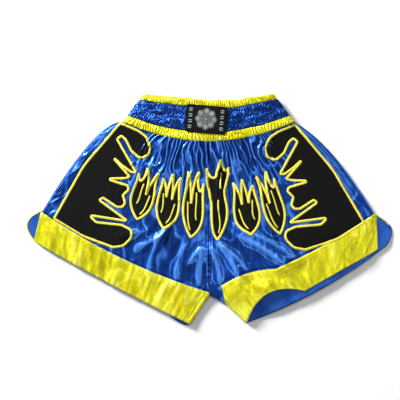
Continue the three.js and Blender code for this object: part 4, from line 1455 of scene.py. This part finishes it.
# %% Elastics
CHANNELS = [(1.5, 13.7), (15.8, 35.35), (35.95, 55.7), (57.8, 71.7)]  # mm below the top edge
ELASTIC_LOOP = (200, 16, 120)
ELASTIC_OUT, ELASTIC_IN = 1.3, 2.5  # how deep its two faces lie in the band
RIB_DEPTH, RIB_STEP = 0.08, 2.4
for channel, (top, low) in enumerate(CHANNELS, 1):
    run, angle, end = (station[:, None] for station in band_loop(*ELASTIC_LOOP))
    face_v = np.linspace(top, low, max(8, int(low - top)))
    v = np.r_[face_v, face_v[::-1]]
    depth = np.repeat([ELASTIC_OUT, ELASTIC_IN], len(face_v))
    depth = depth + RIB_DEPTH * np.cos(2 * np.pi * v / RIB_STEP)
    points = band_place(run, angle, end, v, depth + 0 * run)
    around = along_loop(run[:, 0], angle[:, 0])
    uv = np.stack(np.broadcast_arrays(around[:, None], v), -1).reshape(-1, 2)
    faces = grid_faces(len(run), len(v), wrap_rows=True, wrap_columns=True)
    name = f"elastic_{channel}"
    outward(make_piece(name, points.reshape(-1, 3), faces, uv, WEB, [name]))
print("elastics:", len(CHANNELS))

# %% [markdown]
# ## The label
# A woven label is sewn to the front of the waistband. It is black with rounded corners, has a
# raised rosette of grey thread in the middle, and a column of plain thread bars at each end.

# %% Label
LABEL_SIZE, LABEL_CORNER, LABEL_TURN, LABEL_OFFSET = (68, 45), 4, -5, -4
LABEL_AREA, LABEL_CLOTH = 3040, 0.9
LABEL_MIDDLE = np.array([LABEL_OFFSET, RISE + BAND_HEIGHT - MIDDLE_SEAM]) + TO_MIDDLE
LABEL_HEIGHT = 20.3


def on_label(xy):
    """Places on the label, turned with it and moved to its middle."""
    angle = np.radians(LABEL_TURN)
    turn = np.array([[np.cos(angle), np.sin(angle)], [-np.sin(angle), np.cos(angle)]])
    return np.asarray(xy) @ turn + LABEL_MIDDLE


def label_z(xy):
    """The label's own height before it is turned: nearly flat, a little wavy, down at the rim."""
    rim = np.minimum(LABEL_SIZE[0] / 2 - np.abs(xy[:, 0]), LABEL_SIZE[1] / 2 - np.abs(xy[:, 1]))
    wavy = 0.35 * noise(xy[:, 0] / 13 + 9, xy[:, 1] / 15 + 9, 91)
    return LABEL_HEIGHT + wavy - 0.9 * np.exp(-np.clip(rim, 0, None) / 1.8)


half_w, half_h = LABEL_SIZE[0] / 2, LABEL_SIZE[1] / 2
corners = ((-half_w, -half_h), (half_w, -half_h), (half_w, half_h), (-half_w, half_h))
rim = rounded_outline([(*corner, LABEL_CORNER) for corner in corners])
xy, faces = fill_outline(even_path(rim, 1.2), 1.5)
points = np.column_stack([on_label(xy), label_z(xy)])
label = make_piece("waist_label", points, faces, xy, LABEL, ["waist_label"])
thicken(label, LABEL_CLOTH)
print("label points:", len(xy))

# %% [markdown]
# ### The label's edging
# The cut edge of the label is overlocked, so a line of thread runs round it. It is the strip of
# the seams again, but laid on the label's own height.

# %% The label's edging
def flat_strip(path, width, height, closed=True):
    """An oval of thread along a path on the label. An open one narrows at its ends."""
    n = len(path)
    angle = np.linspace(0, 2 * np.pi, TUBE, endpoint=False)
    grow = np.ones(n) if closed else np.clip(
        np.minimum(np.arange(n), np.arange(n)[::-1]) / 2, 0.3, 1)
    across = np.cos(angle) * width / 2 * grow[:, None]
    xy = (path[:, None] + sideways_of(path, closed)[:, None] * across[..., None]).reshape(-1, 2)
    z = label_z(xy) + 0.05 + (np.sin(angle) * height * grow[:, None]).ravel()
    uv = np.stack(np.broadcast_arrays(running_length(path)[:, None], angle * width / 4), -1)
    return np.column_stack([on_label(xy), z]), tube_faces(n, TUBE, closed), uv.reshape(-1, 2)


outward(make_piece("label_edging", *flat_strip(even_path(rim, 0.8), 1.8, 0.6), LABEL))
print("edging round the label:", round(running_length(rim)[-1]), "mm")

# %% [markdown]
# ### The rosette and the bars
# The rosette is worked in polar rings. Petals stand up between eight grooves, and a ring and a
# button fill the middle. The bars are short strips of thread, two and two in four rows on each
# side of it.

# %% Rosette
LOBES, SPOKES = 8, 32
EMBLEM_RADIUS = 18
SPOKE_POINTS, RINGS = 192, 33


def rosette():
    """Points, faces, UV and crests, from which the grey finish paints shade where the relief is
    low.
    The height over angle and radius share is a sum: petals as the size of a cosine times a half
    sine, a ring as a bell, the button and fine spokes."""
    angle = np.linspace(0, 2 * np.pi, SPOKE_POINTS, endpoint=False)
    share = np.linspace(0, 1, RINGS + 1)[1:, None]
    radius = share * EMBLEM_RADIUS * (1 + 0.07 * np.cos(LOBES * angle))
    outwards = np.sin(np.pi * np.clip((share - 0.36) / 0.64, 0, 1))
    petal = np.abs(np.cos(LOBES * angle / 2)) ** 0.5 * outwards
    ring, button = groove(share - 0.3, 0.06), np.exp(-((share / 0.14) ** 4))
    spokes = 0.12 * np.cos(SPOKES * angle) * blend_step(0.1, 0.3, share)
    height = 0.35 + 0.7 * petal + 0.55 * ring + 0.75 * button + spokes
    height = height * np.sqrt(np.clip(1 - share**24, 0, 1)) - 0.25
    rough = 0.35 * noise(angle * 9 + 30, 7 * share, 92)
    # Painted shade: the lower the relief, the darker the thread, with a little noise.
    painted_shade = np.clip(1.6 * (height - 0.55) + rough, -1, 1)
    xy = np.stack([radius * np.cos(angle), radius * np.sin(angle)], -1).reshape(-1, 2)
    xy = np.vstack([[0.0, 0.0], xy])
    z = label_z(xy) + 0.3 + np.r_[height[0].mean(), height.ravel()]
    faces = (grid_faces(RINGS, SPOKE_POINTS, wrap_columns=True) + 1)[:, ::-1].tolist()
    first = np.arange(SPOKE_POINTS)
    middle = np.stack([0 * first, 1 + first, 1 + (first + 1) % SPOKE_POINTS], -1)
    uv = np.stack(np.broadcast_arrays(angle * 12, radius), -1).reshape(-1, 2)
    return (np.column_stack([on_label(xy), z]), faces + middle.tolist(),
            np.vstack([[0.0, 0.0], uv]), np.r_[painted_shade[0].mean(), painted_shade.ravel()])


*shape, painted_shade = rosette()
emblem = make_piece("label_emblem", *shape, GREY, ["label_emblem"])
keep_crest(emblem, painted_shade)
thicken(emblem, 0.4)
print("rosette points:", len(painted_shade))

# %% Bars
BAR_COLUMNS, BAR_ROWS, BAR_SHIFT = (-26.5, 26.5), np.linspace(-14.5, 14.5, 4), (-1.7, 1.7)
BAR_HALF, BAR_POINTS, BAR_WIDTH, BAR_HEIGHT = 3.2, 12, 2.0, 0.55
bars = []
for column in BAR_COLUMNS:
    for row in BAR_ROWS:
        for shift in BAR_SHIFT:
            x = np.linspace(-BAR_HALF, BAR_HALF, BAR_POINTS) + column
            path = np.column_stack([x, np.full(BAR_POINTS, row + shift)])
            bars.append(flat_strip(path, BAR_WIDTH, BAR_HEIGHT, closed=False))
bar_piece = outward(make_piece("label_bars", *join_strips(bars), GREY))
keep_crest(bar_piece, np.ones(len(bar_piece.data.vertices)))
print("label bars:", len(bars))

# %% [markdown]
# ## The size tab
# A blank folded tab is sewn inside the back of the waistband.

# %% Size tab
TAB = (30, 24)
TAB_GRID = (20, 24)  # rows and columns
TAB_HEIGHT, TAB_CLOTH = 4.3, 0.6
gx, gy = np.meshgrid(np.linspace(-TAB[0] / 2, TAB[0] / 2, TAB_GRID[1]),
                     np.linspace(0, TAB[1], TAB_GRID[0]))
z = TAB_HEIGHT + 0.5 * np.sin(np.pi * gy / TAB[1]) + 0.2 * noise(gx / 8 + 3, gy / 8, 95)
points = np.stack([gx + TO_MIDDLE[0], gy + RISE + TO_MIDDLE[1], z], -1).reshape(-1, 3)
uv = np.stack([gx, gy], -1).reshape(-1, 2)
tab = make_piece("size_tab", points, grid_faces(*TAB_GRID), uv, LABEL, ["size_tab"])
thicken(tab, TAB_CLOTH)
print("size tab:", TAB, "mm")

# %% [markdown]
# ## Stitches
# Each stitch that shows is a tiny thread capsule sunk into the cloth. One capsule is made once,
# with a few dozen faces, and numpy places copies of it along every row.

# %% Stitches
STITCH_GAP = 0.8
ROW_STEPS = 400  # places on a row between which its length is measured


def capsule(length, width):
    """The points and faces of one stitch: five rings of six points, narrower towards its ends."""
    along = np.array([-0.5, -0.38, 0, 0.38, 0.5])
    size = np.array([0.35, 0.85, 1.0, 0.85, 0.35])[:, None] * width / 2
    angle = np.linspace(0, 2 * np.pi, 6, endpoint=False)
    across, up = np.cos(angle) * size, np.sin(angle) * size
    points = np.stack(np.broadcast_arrays(along[:, None] * length, across, up), -1)
    return points.reshape(-1, 3), tube_faces(5, 6, False)


def stitch_rows(rows, lift, length=2.5, width=0.55):
    """Capsules along rows on the front. A row is (side, u from, v from, u to, v to). Each stitch
    is turned to its own axes: along the row, across it, and the drape's normal."""
    shape, faces = capsule(length, width)
    stitches = []
    for side, u0, v0, u1, v1 in rows:
        share = np.linspace(0, 1, ROW_STEPS)
        reach = running_length(
            lay(side, "front", u0 + (u1 - u0) * share, v0 + (v1 - v0) * share, lift))
        count = int(reach[-1] / (length + STITCH_GAP))
        at = np.interp((np.arange(count) + 0.5) / count * reach[-1], reach, share)
        u, v = u0 + (u1 - u0) * at, v0 + (v1 - v0) * at
        place = lay(side, "front", u, v, lift)
        ahead = lay(side, "front", u + (u1 - u0) * 1e-3, v + (v1 - v0) * 1e-3, lift) - place
        ahead /= np.linalg.norm(ahead, axis=1, keepdims=True)
        up = lay(side, "front", u, v, lift + 1.0) - place
        axes = np.stack([ahead, np.cross(up, ahead), up], 1)
        points = place[:, None] + np.einsum("pk,nkc->npc", shape, axes)
        stitches += [(stitch, faces, shape[:, :2]) for stitch in points]
    print("stitches:", len(stitches))
    return join_strips(stitches)


# %% [markdown]
# ### Rows of stitches
# Yellow topstitching holds the hem bands along their top and hem, beside each slit and beside
# each inseam. Blue topstitching runs beside the side seams and the centre seam.

# %% Rows of stitches
BAND_TOP_LIFT = OVER + 0.32
HEM_ROW, HEM_ROW_END = 1.188, 1.19
SLIT_ROW = 0.988
INSEAM_ROWS = {-1: ((0.03, 1.01), (0.048, 1.01)), 1: ((0.03, 1.05),)}  # u, and v where it starts
rows = []
for side in (-1, 1):
    for v in (BAND_START[side] + 0.008, BAND_START[side] + 0.02, HEM_ROW):
        start = 0.02 + (1.25 * INNER_TAPER[side] if v < 1.05 else 0)
        rows.append((side, start, v, 0.985, v))
    rows.append((side, SLIT_ROW, 1.0, SLIT_ROW, HEM_ROW_END))
    rows += [(side, u, v, u, HEM_ROW_END) for u, v in INSEAM_ROWS[side]]
outward(make_piece("hem_topstitch", *stitch_rows(rows, BAND_TOP_LIFT), THREAD))
rows = [(side, 0.978, 0.01, 0.978, 0.955) for side in (-1, 1)]
rows += [(side, 0.012, 0.02, 0.012, 0.88) for side in (-1, 1)]
outward(make_piece("seam_topstitch", *stitch_rows(rows, 0.02, 2.2, 0.45), BLUE))

# %% [markdown]
# ## The bindings of the slits
# A thin folded strip of the yellow satin binds the upper part of the right back flap's slit edge,
# and the whole slit edge of the left one and a little of its hem.

# %% Slit bindings
BINDING_U, BINDING_START = 0.996, 0.965
BINDING_END = {-1: 1 + BAND_V - 0.006, 1: 1.09}
BINDING_WIDTH, BINDING_HEIGHT = 2.2, 0.6
bindings = []
for side in (-1, 1):
    v = np.linspace(BINDING_START, BINDING_END[side], 90)
    u = np.full(len(v), BINDING_U)
    if side < 0:
        along_hem = np.linspace(0.99, 0.9, 40)
        v, u = np.r_[v, np.full(len(along_hem), v[-1])], np.r_[u, along_hem]
    bindings.append(strip_along(side, "back", u, v, 0.25, BINDING_WIDTH, BINDING_HEIGHT))
outward(make_piece("slit_binding", *join_strips(bindings), YELLOW))
print("bindings:", len(bindings))

# %% [markdown]
# ## The table
# A plain white table carries the shorts and takes their soft shadow.

# %% Table
TABLE_HALF, TABLE_DROP = 3, 0.0002  # in metres
sides = (-TABLE_HALF, TABLE_HALF)
table_mesh = bpy.data.meshes.new("table")
table_mesh.from_pydata([(x, y, -TABLE_DROP) for x in sides for y in sides], [], [(0, 2, 3, 1)])
table = bpy.data.objects.new("table", table_mesh)
scene.collection.objects.link(table)
material, shader, add, link = nodes_of("table_top")
grain = cloudy(add, cloth_coordinates(add, False, (40, 40, 40)), 1.0, 2.0)
finish_shader(
    shader, link,
    Base_Color=between(add, grain, (0.95, 0.95, 0.95, 1), (0.97, 0.97, 0.97, 1)),
    Roughness=0.9,
    Specular_IOR_Level=0.2,
)
table_mesh.materials.append(material)
print("table:", 2 * TABLE_HALF, "m wide")
